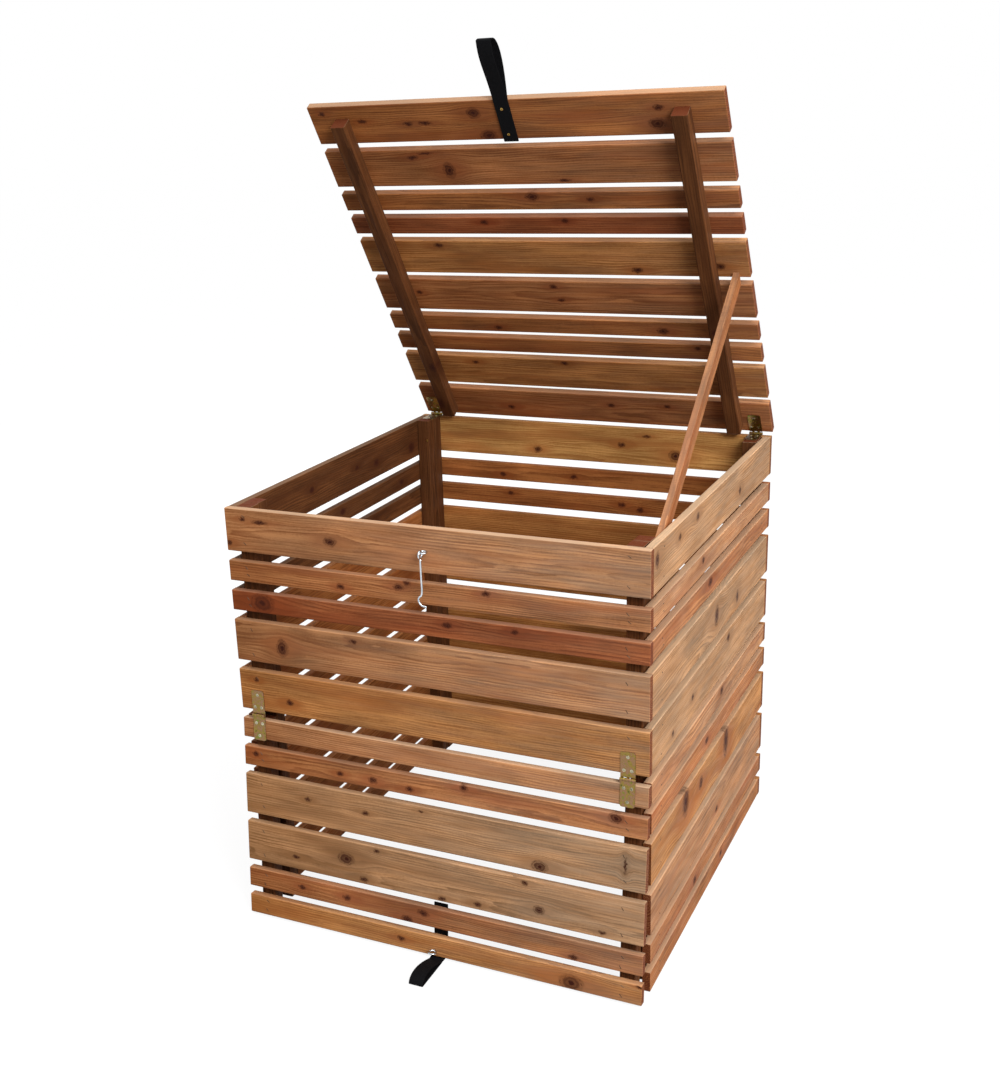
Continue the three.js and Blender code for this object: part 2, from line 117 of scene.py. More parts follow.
def shift(*values):
    return Matrix.Translation(mm(*values))


def turn(degrees, axis):
    return Matrix.Rotation(math.radians(degrees), 4, axis)


def joint_place(name):
    joint = next(j for j in frame["joints"] if j["name"] == name)
    return Matrix.Translation(joint["pos_m"])


# Where each panel was drawn, shut about its hinge, before it was turned to its place
PANELS = {
    "bin": Matrix.Identity(4),
    "lid": joint_place("lid_hinge") @ turn(-LID_OPEN, "X"),
    "hatch": joint_place("hatch_hinge") @ turn(-HATCH_AJAR, "X"),
}
# Turns +Z out of the wood
OUT_FRONT = turn(90, "X")
OUT_RIGHT = turn(90, "Y")
OUT_LEFT = turn(-90, "Y")
OUT_BELOW = turn(180, "X")

# Tones of the oiled softwood: early wood, late wood, the redder heart, and how readily it greys towards the
# right, a grey that is partly silvering and partly painted haze of light
TONES = {
    "tan": ("#B98052", "#7E4B29", "#955A33", 1.0),
    "golden": ("#C2854B", "#824E24", "#9C5B2A", 0.6),
    "weathered": ("#BA885C", "#7C5431", "#92643D", 1.0),
    "russet": ("#B57646", "#76411E", "#904D27", 0.6),
    "red": ("#A05C35", "#663016", "#803D1D", 0.2),
    "amber": ("#B2703C", "#73401D", "#8A4822", 0.5),
    # Straw is paler than the wood: it paints the light that falls on the back wall's top board
    "straw": ("#C89758", "#926030", "#A26434", 0.0),
    # Umber is darker than the wood: it paints the shade inside the bin on the left wall and on the battens
    "umber": ("#6E4324", "#41230F", "#502B14", 0.0),
}
# By wall: how far boards grey towards the right, partly silvering and partly a painted haze of the
# light from that side, and how strong a painted highlight the upper faces of the first board and
# of the others get for the light from above
WEATHER_AND_PAINTED_LIGHT = {
    "front": (0.2, 1.0, 0.4),
    "hatch": (0.2, 1.0, 0.4),
    "right": (0.14, 1.0, 0.8),
    "lid": (0.12, 1.0, 0.4),
}
# The same for the walls that are hardly seen from outside and stand in shade: no grey and a fainter painted
# top highlight
SHADED_WALLS = (0.0, 0.3, 0.12)

# What a board shows: its tone, and its knots as (along, across, half length, half height), in
# millimetres from the middle of its face
LOOKS = {
    "front_slat_1": ("tan", [(-215, -4, 13, 8), (-427, 25, 7, 4), (-384, 22, 16, 4), (-464, -30, 6, 5)]),
    "front_slat_2": ("russet", [(-196, -7, 8, 5), (-61, 8, 10, 6), (-41, 15, 7, 5), (133, 16, 9, 5)]),
    "front_slat_3": ("red", [(-394, 0, 24, 19), (45, 6, 9, 6), (193, 11, 7, 5)]),
    "front_slat_4": ("tan", [(-353, -6, 12, 17), (-175, 33, 8, 4)]),
    "front_slat_5": ("golden", [(-428, 25, 6, 4), (-345, -17, 8, 6)]),
    "hatch_slat_1": ("tan", []),
    "hatch_slat_2": (
        "russet",
        [(-441, 6, 8, 5), (-225, -4, 8, 5), (-144, -4, 10, 7), (-55, -9, 8, 5), (71, 17, 9, 6),
         (404, 13, 14, 9)],
    ),
    "hatch_slat_3": (
        "weathered",
        [(-309, 12, 7, 5), (-163, 7, 8, 5), (-29, 36, 6, 3), (244, -34, 15, 10), (427, 6, 3, 15)],
    ),
    "hatch_slat_4": (
        "weathered",
        [(-214, 4, 17, 12), (-170, -34, 9, 7), (-137, 37, 7, 4), (-344, -18, 9, 4), (21, -40, 8, 5),
         (105, -35, 8, 5), (211, 38, 8, 5), (244, -17, 11, 8), (383, -36, 7, 4)],
    ),
    "hatch_slat_5": (
        "russet",
        [(-330, 1, 8, 5), (-214, 1, 9, 6), (-64, -17, 12, 7), (-25, 5, 12, 7), (321, -14, 9, 6)],
    ),
    "hatch_slat_6": ("golden", [(-79, 0, 8, 5), (318, -8, 22, 15), (466, 18, 9, 3)]),
    "right_slat_1": ("weathered", [(-168, 25, 9, 8), (-294, 19, 8, 7), (176, -11, 9, 8), (-441, 17, 10, 14)]),
    "right_slat_2": ("tan", [(-120, 8, 9, 6)]),
    "right_slat_3": ("russet", [(-60, 8, 14, 9)]),
    "right_slat_4": ("weathered", [(0, 2, 14, 20), (180, -14, 9, 12)]),
    "right_slat_5": ("weathered", [(-182, -1, 7, 6), (-324, -23, 7, 6), (108, 28, 11, 8)]),
    "right_slat_6": ("tan", [(60, 6, 12, 8)]),
    "right_slat_7": ("russet", [(-60, 4, 12, 8)]),
    "right_slat_8": ("golden", [(-220, 22, 20, 30), (111, 18, 18, 34), (-101, 11, 12, 12)]),
    "right_slat_9": ("tan", [(40, -10, 10, 7)]),
    "right_slat_10": ("russet", [(-137, -8, 12, 9)]),
    "right_slat_11": ("amber", [(90, 5, 10, 7)]),
    # The back wall's top board takes the pale straw tone, painted light
    "back_slat_1": ("straw", [(235, -18, 15, 12), (94, 2, 9, 6), (-136, -24, 10, 7), (160, 28, 9, 4)]),
    "back_slat_2": ("amber", [(-37, 0, 9, 5), (-236, -8, 8, 5)]),
    "back_slat_3": ("amber", [(95, 3, 9, 6), (143, -6, 9, 6), (-215, 10, 8, 5)]),
    # The inner left wall takes the dark umber tone, painted shade
    "left_slat_1": ("umber", [(161, -10, 12, 8), (-154, 1, 9, 7), (354, -16, 14, 12), (62, 1, 8, 5)]),
    "left_slat_2": ("umber", [(-20, 4, 12, 7), (290, -2, 10, 6)]),
    "left_slat_3": ("umber", [(120, -3, 11, 7)]),
    "lid_slat_1": (
        "amber",
        [(-71, 19, 13, 11), (-50, -37, 16, 12), (-231, -2, 9, 5), (-340, 7, 9, 5), (-433, 30, 7, 5),
         (-190, -2, 14, 3), (330, 16, 9, 6), (322, -21, 15, 11)],
    ),
    "lid_slat_2": ("russet", [(-169, -7, 12, 17), (-248, 28, 12, 5), (-215, 34, 16, 3), (95, -38, 12, 3)]),
    "lid_slat_3": ("amber", [(9, 12, 14, 9), (142, 4, 8, 5)]),
    "lid_slat_4": ("red", [(-125, 10, 9, 5), (71, 14, 8, 5)]),
    "lid_slat_5": ("golden", [(-260, 36, 10, 6), (213, -31, 11, 7), (401, -18, 11, 8)]),
    "lid_slat_6": ("russet", [(0, 32, 9, 6), (10, -8, 8, 5), (-356, 7, 8, 5)]),
    "lid_slat_7": ("amber", [(-174, -9, 9, 6), (243, -4, 12, 9)]),
    "lid_slat_8": ("amber", [(318, 12, 8, 5)]),
    "lid_slat_9": ("golden", [(-270, 29, 8, 5), (-28, 38, 8, 6)]),
    "lid_slat_10": ("russet", [(-212, -11, 9, 6), (65, 15, 9, 6), (212, 21, 8, 5)]),
    # The lid's battens take the dark umber tone, painted shade under the lid
    "lid_batten_left": ("umber", [(400, -9, 16, 9), (270, 8, 12, 8)]),
    "lid_batten_right": ("umber", [(120, -4, 10, 7)]),
    "prop_stick": ("russet", []),
}
# Tones of the boards that have no knots of their own; the battens' dark umber paints their shade
PLAIN_TONES = {"right_slat": "golden", "back_slat": "golden", "left_slat": "amber", "batten": "umber"}
# A knot's stain reaches this far past its core, and knots up to this half length are the darkest
KNOT_SPREAD = 1.35
DARKEST_KNOT = 20
# How far each board's figure is moved on from the last one's, in millimetres
FIGURE_STEP = (911.0, 173.0, 57.0)
# The mean of a noise's colour
HALF = (0.5, 0.5, 0.5)
# How an edge is rounded
ROUND = {"profile": 0.5, "affect": "EDGES", "material": -1}


class TimberSettings(bpy.types.PropertyGroup):
    edge: FloatProperty(
        name="Edge", description="Rounding of the planed edges", default=2.5 * MM, min=0.1 * MM, unit="LENGTH"
    )
    ring_pitch: FloatProperty(
        name="Ring pitch", description="Distance between growth rings", default=4.6 * MM, min=0.5 * MM,
        unit="LENGTH",
    )
    # Darker than the end grain alone: it also paints the shade that falls on the sawn ends
    end_grain_and_shade: FloatVectorProperty(
        name="End grain and painted shade", description="Colour of the sawn ends", default=linear("#5E2C17"), **SWATCH
    )
    knot: FloatVectorProperty(
        name="Knot", description="Colour of the knots", default=linear("#35140A"), **SWATCH
    )
    # Greying towards this colour, strongest on the right, is partly silvering and partly a painted haze of
    # the light from that side
    silver_and_haze: FloatVectorProperty(
        name="Silver and painted haze", description="Grey that the boards go towards on the right, partly weathering and partly painted haze",
        default=linear("#A79E8C"), **SWATCH
    )
    # Painted highlight: the upward faces are mixed towards this pale colour for the light from above
    top_highlight: FloatVectorProperty(
        name="Painted top highlight", description="Pale colour painted on the upward faces for the light from above",
        default=linear("#E8CBAA"), **SWATCH
    )


class MetalSettings(bpy.types.PropertyGroup):
    yellow_zinc: FloatVectorProperty(
        name="Yellow zinc", description="Passivated plate on the hinges", default=linear("#927E40"), **SWATCH
    )
    bright_zinc: FloatVectorProperty(
        name="Bright zinc", description="Plate on the hook and eyes", default=linear("#DDE2E6"), **SWATCH
    )
    screw_head: FloatProperty(
        name="Screw head", description="Radius of a screw's head", default=3.6 * MM, min=MM, unit="LENGTH"
    )
    nail_head: FloatProperty(
        name="Nail head", description="Radius of a nail's head", default=1.8 * MM, min=0.5 * MM, unit="LENGTH"
    )


class WebbingSettings(bpy.types.PropertyGroup):
    colour: FloatVectorProperty(
        name="Webbing", description="Colour of the woven webbing", default=linear("#060607"), **SWATCH
    )
    width: FloatProperty(name="Width", description="Width of the webbing", default=33 * MM, unit="LENGTH")
    thickness: FloatProperty(
        name="Thickness", description="Thickness of one ply", default=1.4 * MM, unit="LENGTH"
    )
    rib: FloatProperty(
        name="Rib", description="Distance between the woven ribs", default=1.5 * MM, min=0.2 * MM,
        unit="LENGTH",
    )
    steps: IntProperty(name="Steps", description="Steps along each side of a loop", default=22, min=8, max=60)


class StageSettings(bpy.types.PropertyGroup):
    top: FloatProperty(
        name="Top light", description="Strength of the soft light overhead", default=2.4, min=0
    )
    key: FloatProperty(
        name="Key light", description="Power of the lamp on the right", default=52.0, min=0, unit="POWER"
    )
    fill: FloatProperty(
        name="Fill light", description="Power of the lamp high in front", default=208.0, min=0, unit="POWER"
    )
    rear: FloatProperty(
        name="Rear light", description="Power of the lamp low behind on the left", default=140.0, min=0,
        unit="POWER",
    )
    sky: FloatProperty(name="Sky", description="Strength of the even light", default=0.2, min=0)


def add(tree, kind, *values, out=0, named=None, stops=(), **settings):
    """Adds one node with its settings and links, and gives back one of its outputs."""
    made = tree.nodes.new("ShaderNode" + kind)
    for name, value in settings.items():
        setattr(made, name, value)
    for key, value in [*enumerate(values), *(named or {}).items()]:
        if isinstance(value, bpy.types.NodeSocket):
            tree.links.new(value, made.inputs[key])
        else:
            made.inputs[key].default_value = value
    for index, (position, colour) in enumerate(stops):
        elements = made.color_ramp.elements
        stop = elements[index] if index < 2 else elements.new(position)
        stop.position, stop.color = position, colour
    return made.outputs if out is None else made.outputs[out]


def new_group(name, inputs, outputs):
    tree = bpy.data.node_groups.new(name, "ShaderNodeTree")
    for label, kind in inputs:
        tree.interface.new_socket(label, in_out="INPUT", socket_type="NodeSocket" + kind)
    for label, kind in outputs:
        tree.interface.new_socket(label, in_out="OUTPUT", socket_type="NodeSocket" + kind)
    return tree, tree.nodes.new("NodeGroupInput").outputs, tree.nodes.new("NodeGroupOutput").inputs


def new_material(name):
    material = bpy.data.materials.new(name)
    material.use_nodes = True
    tree = material.node_tree
    return material, tree, tree.nodes["Principled BSDF"].inputs


def knot_group():
    """A knot in millimetres: a dark uneven core, a redder halo, and grain that flows round it."""
    tree, given, out = new_group(
        "knot",
        [("Place", "Vector"), ("Middle", "Vector"), ("Size", "Vector"), ("Depth", "Float"), ("Core", "Float"),
         ("Halo", "Float")],
        [("Place", "Vector"), ("Core", "Float"), ("Halo", "Float")],
    )
    place = given["Place"]
    offset = add(tree, "VectorMath", place, given["Middle"], operation="SUBTRACT")
    noise = {"Vector": place, "Scale": 0.13, "Detail": 4.0, "Roughness": 0.6}
    torn = add(tree, "TexNoise", named=noise, out=None)
    wobble = add(tree, "VectorMath", torn["Color"], HALF, operation="SUBTRACT")
    uneven = add(tree, "VectorMath", wobble, (14.0, 10.0, 0.0), offset, operation="MULTIPLY_ADD")
    flat = add(tree, "VectorMath", uneven, given["Size"], operation="DIVIDE")
    radius = add(tree, "VectorMath", flat, operation="LENGTH", out="Value")
    mask = add(tree, "MapRange", radius, 1.1, 0.7, interpolation_type="SMOOTHSTEP")
    wave = add(tree, "Math", add(tree, "Math", radius, 15.0, operation="MULTIPLY"), operation="SINE")
    figure = add(tree, "Math", wave, 0.16, 0.46, operation="MULTIPLY_ADD")
    deep = add(tree, "MapRange", radius, 0.75, 0.2, 0.0, 0.55)
    inside = add(tree, "Math", figure, deep, operation="ADD")
    loose = add(tree, "Math", torn["Fac"], 0.52, operation="GREATER_THAN")
    rim = add(tree, "Math", radius, 0.9, 0.13, operation="COMPARE")
    bark = add(tree, "Math", mask, add(tree, "Math", rim, loose, operation="MULTIPLY"), operation="MULTIPLY")
    inside = add(tree, "Math", inside, bark, operation="MAXIMUM")
    shown = add(tree, "Math", mask, inside, operation="MULTIPLY")
    shown = add(tree, "Math", shown, given["Depth"], operation="MULTIPLY")
    cores = add(tree, "Math", shown, given["Core"], operation="MAXIMUM")
    stretched = add(tree, "VectorMath", flat, (0.36, 0.7, 1.0), operation="MULTIPLY")
    far = add(tree, "VectorMath", stretched, operation="LENGTH", out="Value")
    halo = add(tree, "MapRange", far, 1.6, 0.35, interpolation_type="SMOOTHSTEP")
    halos = add(tree, "Math", halo, given["Halo"], operation="MAXIMUM")
    square = add(tree, "Math", far, 2.0, operation="POWER")
    fading = add(tree, "Math", add(tree, "Math", square, -0.9, operation="MULTIPLY"), operation="EXPONENT")
    pull = add(tree, "Math", fading, -0.85, operation="MULTIPLY")
    across = add(tree, "VectorMath", offset, (0.0, 1.0, 0.0), operation="MULTIPLY")
    moved = add(tree, "VectorMath", across, named={"Scale": pull}, operation="SCALE")
    bent = add(tree, "VectorMath", place, moved, operation="ADD")
    for label, value in (("Place", bent), ("Core", cores), ("Halo", halos)):
        tree.links.new(value, out[label])


def grain_group(settings):
    """Planed softwood in millimetres: growth rings about a pith, fibres, saw marks and tone."""
    tree, given, out = new_group(
        "softwood_grain",
        [("Place", "Vector"), ("Shift", "Vector"), ("Pith", "Vector"), ("Core", "Float"), ("Halo", "Float"),
         ("End", "Float"), ("Up", "Float"), ("Grey", "Float"), ("Saw", "Float"), ("Early", "Color"),
         ("Late", "Color"), ("Heart", "Color")],
        [("Color", "Color"), ("Roughness", "Float"), ("Height", "Float")],
    )
    place = given["Place"]
    own = add(tree, "VectorMath", place, given["Shift"], operation="ADD")

    def streaks(along, across, detail=2.0, roughness=0.5, out="Fac"):
        """Cloudy figure that changes over these lengths along and across the grain."""
        scaled = add(tree, "VectorMath", own, (1 / along, 1 / across, 1 / across), operation="MULTIPLY")
        noise = {"Vector": scaled, "Scale": 1.0, "Detail": detail, "Roughness": roughness}
        return add(tree, "TexNoise", named=noise, out=out)

    def weigh(figure, weight, total):
        """Adds a figure that lies about a half, weighed, to a total."""
        level = add(tree, "Math", figure, 0.5, operation="SUBTRACT")
        return add(tree, "Math", level, weight, total, operation="MULTIPLY_ADD")

    grown = place
    for along, across, sway in ((560, 120, 32.0), (85, 26, 5.0)):
        drift = add(tree, "VectorMath", streaks(along, across, out="Color"), HALF, operation="SUBTRACT")
        grown = add(tree, "VectorMath", drift, (0.0, sway, sway), grown, operation="MULTIPLY_ADD")
    from_pith = add(tree, "VectorMath", grown, given["Pith"], operation="SUBTRACT")
    from_pith = add(tree, "VectorMath", from_pith, (0.0, 1.0, 1.0), operation="MULTIPLY")
    radius = add(tree, "VectorMath", from_pith, operation="LENGTH", out="Value")
    years = add(tree, "Math", radius, settings.ring_pitch / MM, operation="DIVIDE")
    years = weigh(streaks(150, 7), 0.7, years)
    year = add(tree, "Math", years, operation="FRACT")
    levels = ((0.0, 0.0), (0.4, 0.08), (0.78, 0.75), (0.93, 1.0), (1.0, 0.0))
    late = add(tree, "ValToRGB", year, stops=[(spot, (level,) * 3 + (1.0,)) for spot, level in levels])
    strong = add(tree, "MapRange", streaks(240, 30), 0.35, 0.65, 0.35, 1.0)
    lines = add(tree, "Math", late, strong, operation="MULTIPLY")
    darker = add(tree, "Math", lines, 0.75, 0.14, operation="MULTIPLY_ADD")
    fibres = streaks(170, 2.6, 3.0, 0.55)
    saw = streaks(1.6, 24)
    figures = (
        (fibres, 2.2), (streaks(320, 4.5), 1.2), (streaks(60, 9, 3.0, 0.6), 0.9), (streaks(6, 2), 0.9),
        (saw, given["Saw"]),
    )
    for figure, weight in figures:
        darker = weigh(figure, weight, darker)
    warm = add(tree, "MapRange", streaks(330, 30, 3.0), 0.46, 0.66, 0.0, 0.75)
    redder = add(tree, "Math", given["Halo"], 0.8, warm, operation="MULTIPLY_ADD", use_clamp=True)
    lining = add(tree, "Math", lines, 0.65, operation="MULTIPLY")
    stain = add(tree, "MapRange", streaks(170, 34, 4.0), 0.58, 0.76, 0.0, 0.4)
    colour = given["Early"]
    # The wood's own colours, each laid over the last by its factor
    for factor, over in (
        (darker, given["Late"]),
        (redder, given["Heart"]),
        (lining, given["Late"]),
        (stain, linear("#5E3F27")),
    ):
        colour = add(tree, "Mix", named={"Factor": factor, "A": colour, "B": over}, **COLOURS)
    light = add(tree, "MapRange", streaks(190, 55, 3.0), 0.3, 0.7, 0.7, 1.3)
    colour = add(tree, "VectorMath", colour, named={"Scale": light}, operation="SCALE")
    fresh = add(tree, "MapRange", given["Grey"], 0.0, 0.15, 0.25, 0.0)
    # Greying: partly silvering, partly a painted haze of the light from the right
    patches = add(tree, "MapRange", streaks(120, 14, 3.0), 0.3, 0.7, 0.5, 1.6)
    greying_and_haze = add(tree, "Math", patches, given["Grey"], operation="MULTIPLY")
    # Painted highlight on the upward faces, for the light from above
    pale = add(tree, "Math", given["Up"], 0.35, operation="MULTIPLY")
    # The dark sawn ends are partly end grain and partly painted shade
    sawn = weigh(fibres, 1.5, add(tree, "Math", lines, -0.5, 0.17, operation="MULTIPLY_ADD"))
    end = {"Factor": sawn, "A": list(settings.end_grain_and_shade), "B": given["Early"]}
    # Oil, grey that is partly silvering and partly painted haze of light, a painted highlight on the upward
    # faces, knots, and sawn ends that are partly painted shade, over them
    for factor, over in (
        (fresh, given["Late"]),
        (greying_and_haze, list(settings.silver_and_haze)),
        (pale, list(settings.top_highlight)),
        (given["Core"], list(settings.knot)),
        (given["End"], add(tree, "Mix", named=end, **COLOURS)),
    ):
        colour = add(tree, "Mix", named={"Factor": factor, "A": colour, "B": over}, **COLOURS)
    rough = add(tree, "MapRange", streaks(60, 9), 0.3, 0.7, 0.6, 0.82)
    marks = weigh(saw, given["Saw"], add(tree, "Math", lines, -0.5, fibres, operation="MULTIPLY_ADD"))
    height = add(tree, "Math", given["Core"], -0.8, marks, operation="MULTIPLY_ADD")
    for label, value in (("Color", colour), ("Roughness", rough), ("Height", height)):
        tree.links.new(value, out[label])


def timber_material(name, tone, knots, local, index, greying_and_haze=0.05, top_highlight_strength=0.4, saw=0.3):
    """Oiled planed softwood for one board: its own rings and knots, and dark sawn ends.

    Oil leaves it half dull and saturated, its upward faces get a painted highlight for the light
    from above, its ends drink the oil and go redder and darker, which also paints the shade that
    falls on them, and it greys a little more the further right it stands, partly silvering and
    partly a painted haze of the light from that side.
    """
    material, tree, shader = new_material("oiled_softwood_" + name)
    coordinates = add(tree, "TexCoord", out=None)
    placing = {
        "Vector": coordinates["Object"],
        "Location": local.to_translation(),
        "Rotation": local.to_euler(),
        "Scale": (MM, MM, MM),
    }
    place = add(tree, "Mapping", named=placing, vector_type="TEXTURE")
    core = halo = 0.0
    for along, across, length, height in knots:
        values = {"Place": place, "Core": core, "Halo": halo, "Middle": (along, across, 0.0)}
        # The last size lets the knot run right through the board
        values["Size"] = (length * KNOT_SPREAD, height * KNOT_SPREAD, 1e6)
        values["Depth"] = min(1.0, DARKEST_KNOT / length)
        knot = add(tree, "Group", node_tree=bpy.data.node_groups["knot"], named=values, out=None)
        place, core, halo = knot["Place"], knot["Core"], knot["Halo"]

    dot = {"operation": "DOT_PRODUCT", "out": "Value"}
    end = add(tree, "VectorMath", coordinates["Normal"], local.to_3x3() @ Vector((1, 0, 0)), **dot)
    end = add(tree, "Math", add(tree, "Math", end, operation="ABSOLUTE"), 0.8, operation="GREATER_THAN")
    # Painted highlight on the upward faces, for the light from above
    up = add(tree, "VectorMath", coordinates["Normal"], Vector((0, 0, 1)), **dot)
    up = add(tree, "MapRange", up, 0.3, 0.9, 0.0, top_highlight_strength)
    right = add(tree, "SeparateXYZ", coordinates["Object"])
    *tones, readiness = TONES[tone]
    early, late, heart = (linear(code) for code in tones)
    # Greying towards the right: partly silvering, partly a painted haze of the light from that side
    grey = add(tree, "MapRange", right, CAD_BOX[0].x, CAD_BOX[1].x, 0.0, greying_and_haze * readiness)
    # The pith lies behind the face, above or below the board, at another place in each
    side = 1 if index % 2 else -1
    pith = (0.0, side * (55.0 + 45.0 * math.sin(index * 2.4)), -38.0 - 22.0 * math.cos(index * 1.7))
    values = {
        "Place": place, "Shift": [index * step for step in FIGURE_STEP], "Pith": pith,
        "Core": core, "Halo": halo, "End": end, "Up": up, "Grey": grey, "Saw": saw, "Early": early,
        "Late": late, "Heart": heart,
    }
    grain = add(tree, "Group", node_tree=bpy.data.node_groups["softwood_grain"], named=values, out=None)
    bump = add(tree, "Bump", named={"Height": grain["Height"], "Strength": 0.5, "Distance": 0.6 * MM})
    tree.links.new(grain["Color"], shader["Base Color"])
    tree.links.new(grain["Roughness"], shader["Roughness"])
    tree.links.new(bump, shader["Normal"])
    shader["IOR"].default_value = 1.45
    shader["Specular IOR Level"].default_value = 0.12
    return material


def plated_material(name, colours, rough_low, rough_high):
    """Zinc or brass plate on pressed or drawn steel: its passivation shows as soft clouds."""
    material, tree, shader = new_material(name)
    shader["Metallic"].default_value = 1.0
    place = add(tree, "TexCoord", out="Object")
    clouds = add(tree, "TexNoise", named={"Vector": place, "Scale": 85.0, "Detail": 4.0, "Roughness": 0.6})
    fine = add(tree, "TexNoise", named={"Vector": place, "Scale": 1100.0, "Detail": 2.0})
    bump = add(tree, "Bump", named={"Height": fine, "Strength": 0.12, "Distance": 0.1 * MM})
    stops = [(0.32 + 0.36 * step / (len(colours) - 1), colour) for step, colour in enumerate(colours)]
    tree.links.new(add(tree, "ValToRGB", clouds, stops=stops), shader["Base Color"])
    tree.links.new(add(tree, "MapRange", fine, 0.25, 0.75, rough_low, rough_high), shader["Roughness"])
    tree.links.new(bump, shader["Normal"])
    return material


def webbing_material(settings):
    """Woven polypropylene webbing: matt black, its weft ribs and warp ends in relief."""
    material, tree, shader = new_material("black_polypropylene_webbing")
    place = add(tree, "UVMap", uv_map="weave")
    axes = add(tree, "SeparateXYZ", place, out=None)
    turns = add(tree, "Math", axes[1], 2 * math.pi * MM / settings.rib, operation="MULTIPLY")
    rib = add(tree, "Math", turns, operation="SINE")
    turns = add(tree, "Math", axes[0], 2 * math.pi / 1.1, operation="MULTIPLY")
    warp = add(tree, "Math", turns, operation="SINE")
    weave = add(tree, "Math", rib, warp, operation="MULTIPLY")
    fuzz = add(tree, "TexNoise", named={"Vector": place, "Scale": 0.35, "Detail": 5.0, "Roughness": 0.7})
    height = add(tree, "Math", fuzz, 0.8, weave, operation="MULTIPLY_ADD")
    level = add(tree, "MapRange", height, -0.8, 1.8)
    stops = [(0.0, list(settings.colour)), (1.0, linear("#0D0D10"))]
    tree.links.new(add(tree, "ValToRGB", level, stops=stops), shader["Base Color"])
    tree.links.new(add(tree, "MapRange", fuzz, 0.3, 0.7, 0.65, 0.85), shader["Roughness"])
    shader["Specular IOR Level"].default_value = 0.07
    bump = add(tree, "Bump", named={"Height": height, "Strength": 0.6, "Distance": 0.25 * MM})
    tree.links.new(bump, shader["Normal"])
    return material


def paint(thing, material):
    thing.data.materials.clear()
    thing.data.materials.append(material)


def finish_mesh(name, shape, body, material, nodes=(), smooth=False):
    """Writes the bmesh to an object of its own that rides on a body."""
    bmesh.ops.recalc_face_normals(shape, faces=shape.faces)
    data = bpy.data.meshes.new(name)
    shape.to_mesh(data)
    shape.free()
    thing = bpy.data.objects.new(name, data)
    bpy.context.scene.collection.objects.link(thing)
    if smooth:
        data.shade_smooth()
    paint(thing, material)
    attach(thing, body)
    if nodes:
        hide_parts(*nodes)
    return thing


def drawn_box(node, panel):
    """Lowest and highest corner of a CAD node where its panel was drawn."""
    inverse = PANELS[panel].inverted()
    points = [inverse @ v.co for v in NODES[node].data.vertices]
    low = Vector([min(p[i] for p in points) for i in range(3)])
    high = Vector([max(p[i] for p in points) for i in range(3)])
    return low, high


def grain_frame(low, high, grain, outward):
    """Frame of a board: X along the grain, Y across its face, Z out of it, from its middle."""
    along = Vector([1.0 if axis == grain else 0.0 for axis in "xyz"])
    out = Vector(outward)
    local = Matrix((along, out.cross(along), out)).transposed().to_4x4()
    local.translation = (low + high) / 2
    return local


def board_shape(low, high, edge):
    """A board with its long edges rounded and its sawn ends just eased."""
    shape = bmesh.new()
    size = high - low
    bmesh.ops.create_cube(shape, size=1.0)
    bmesh.ops.scale(shape, vec=size, verts=shape.verts)
    bmesh.ops.translate(shape, vec=(low + high) / 2, verts=shape.verts)
    longest = max(range(3), key=lambda axis: size[axis])

    def spans(e):
        return abs((e.verts[0].co - e.verts[1].co)[longest]) > size[longest] / 2

    def at_end(face):
        return abs(face.normal[longest]) > 0.9

    long_edges = [e for e in shape.edges if spans(e)]
    bmesh.ops.bevel(shape, geom=long_edges, offset=edge, segments=3, **ROUND)
    ends = [
        e for e in shape.edges
        if not spans(e) and len(e.link_faces) == 2 and sum(at_end(face) for face in e.link_faces) == 1
    ]
    bmesh.ops.bevel(shape, geom=ends, offset=edge / 4, segments=1, **ROUND)
    return shape


def is_wide(low, high):
    return high.z - low.z > WIDE_SLAT * MM * 0.9


def grain_of(name):
    """The grain's axis and the way out of the face that shows."""
    if name.startswith("lid"):
        return ("y" if "batten" in name else "x"), (0, 0, -1)
    if "batten" in name:
        return "z", (0, -1, 0)
    if name.startswith(("right", "left")):
        return "y", (1, 0, 0)
    return "x", (0, -1, 0)


def make_board(name, low, high, panel, nodes, index, settings):
    kind = name.rstrip("0123456789_")
    plain = PLAIN_TONES.get(kind, PLAIN_TONES["batten"] if "batten" in name else "tan")
    tone, knots = LOOKS.get(name, (plain, []))
    grain, outward = grain_of(name)
    place = PANELS[panel]
    local = place @ grain_frame(low, high, grain, outward)
    shape = board_shape(low, high, settings.edge)
    shape.transform(place)
    # The wall's grey, partly painted haze of light, and the strength of its painted top highlight
    greying_and_haze, first_top_highlight_strength, top_highlight_strength = WEATHER_AND_PAINTED_LIGHT.get(name.split("_")[0], SHADED_WALLS)
    if name.endswith("_slat_1"):
        top_highlight_strength = first_top_highlight_strength
    material = timber_material(name, tone, knots, local, index, greying_and_haze, top_highlight_strength)
    return finish_mesh(name + "_board", shape, panel, material, nodes)


class BIN_OT_boards(bpy.types.Operator):
    """Builds every board and batten with its own grain, knots and sawn ends"""

    bl_idname = "compost_bin.boards"
    bl_label = "Boards"

    def execute(self, context):
        settings = context.scene.bin_timber
        knot_group()
        grain_group(settings)
        index = 0
        for name, node in NODES.items():
            if "slat" in name or "batten" in name:
                index += 1
                panel = node["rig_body"]
                low, high = drawn_box(name, panel)
                make_board(name, low, high, panel, [name], index, settings)
        return {"FINISHED"}


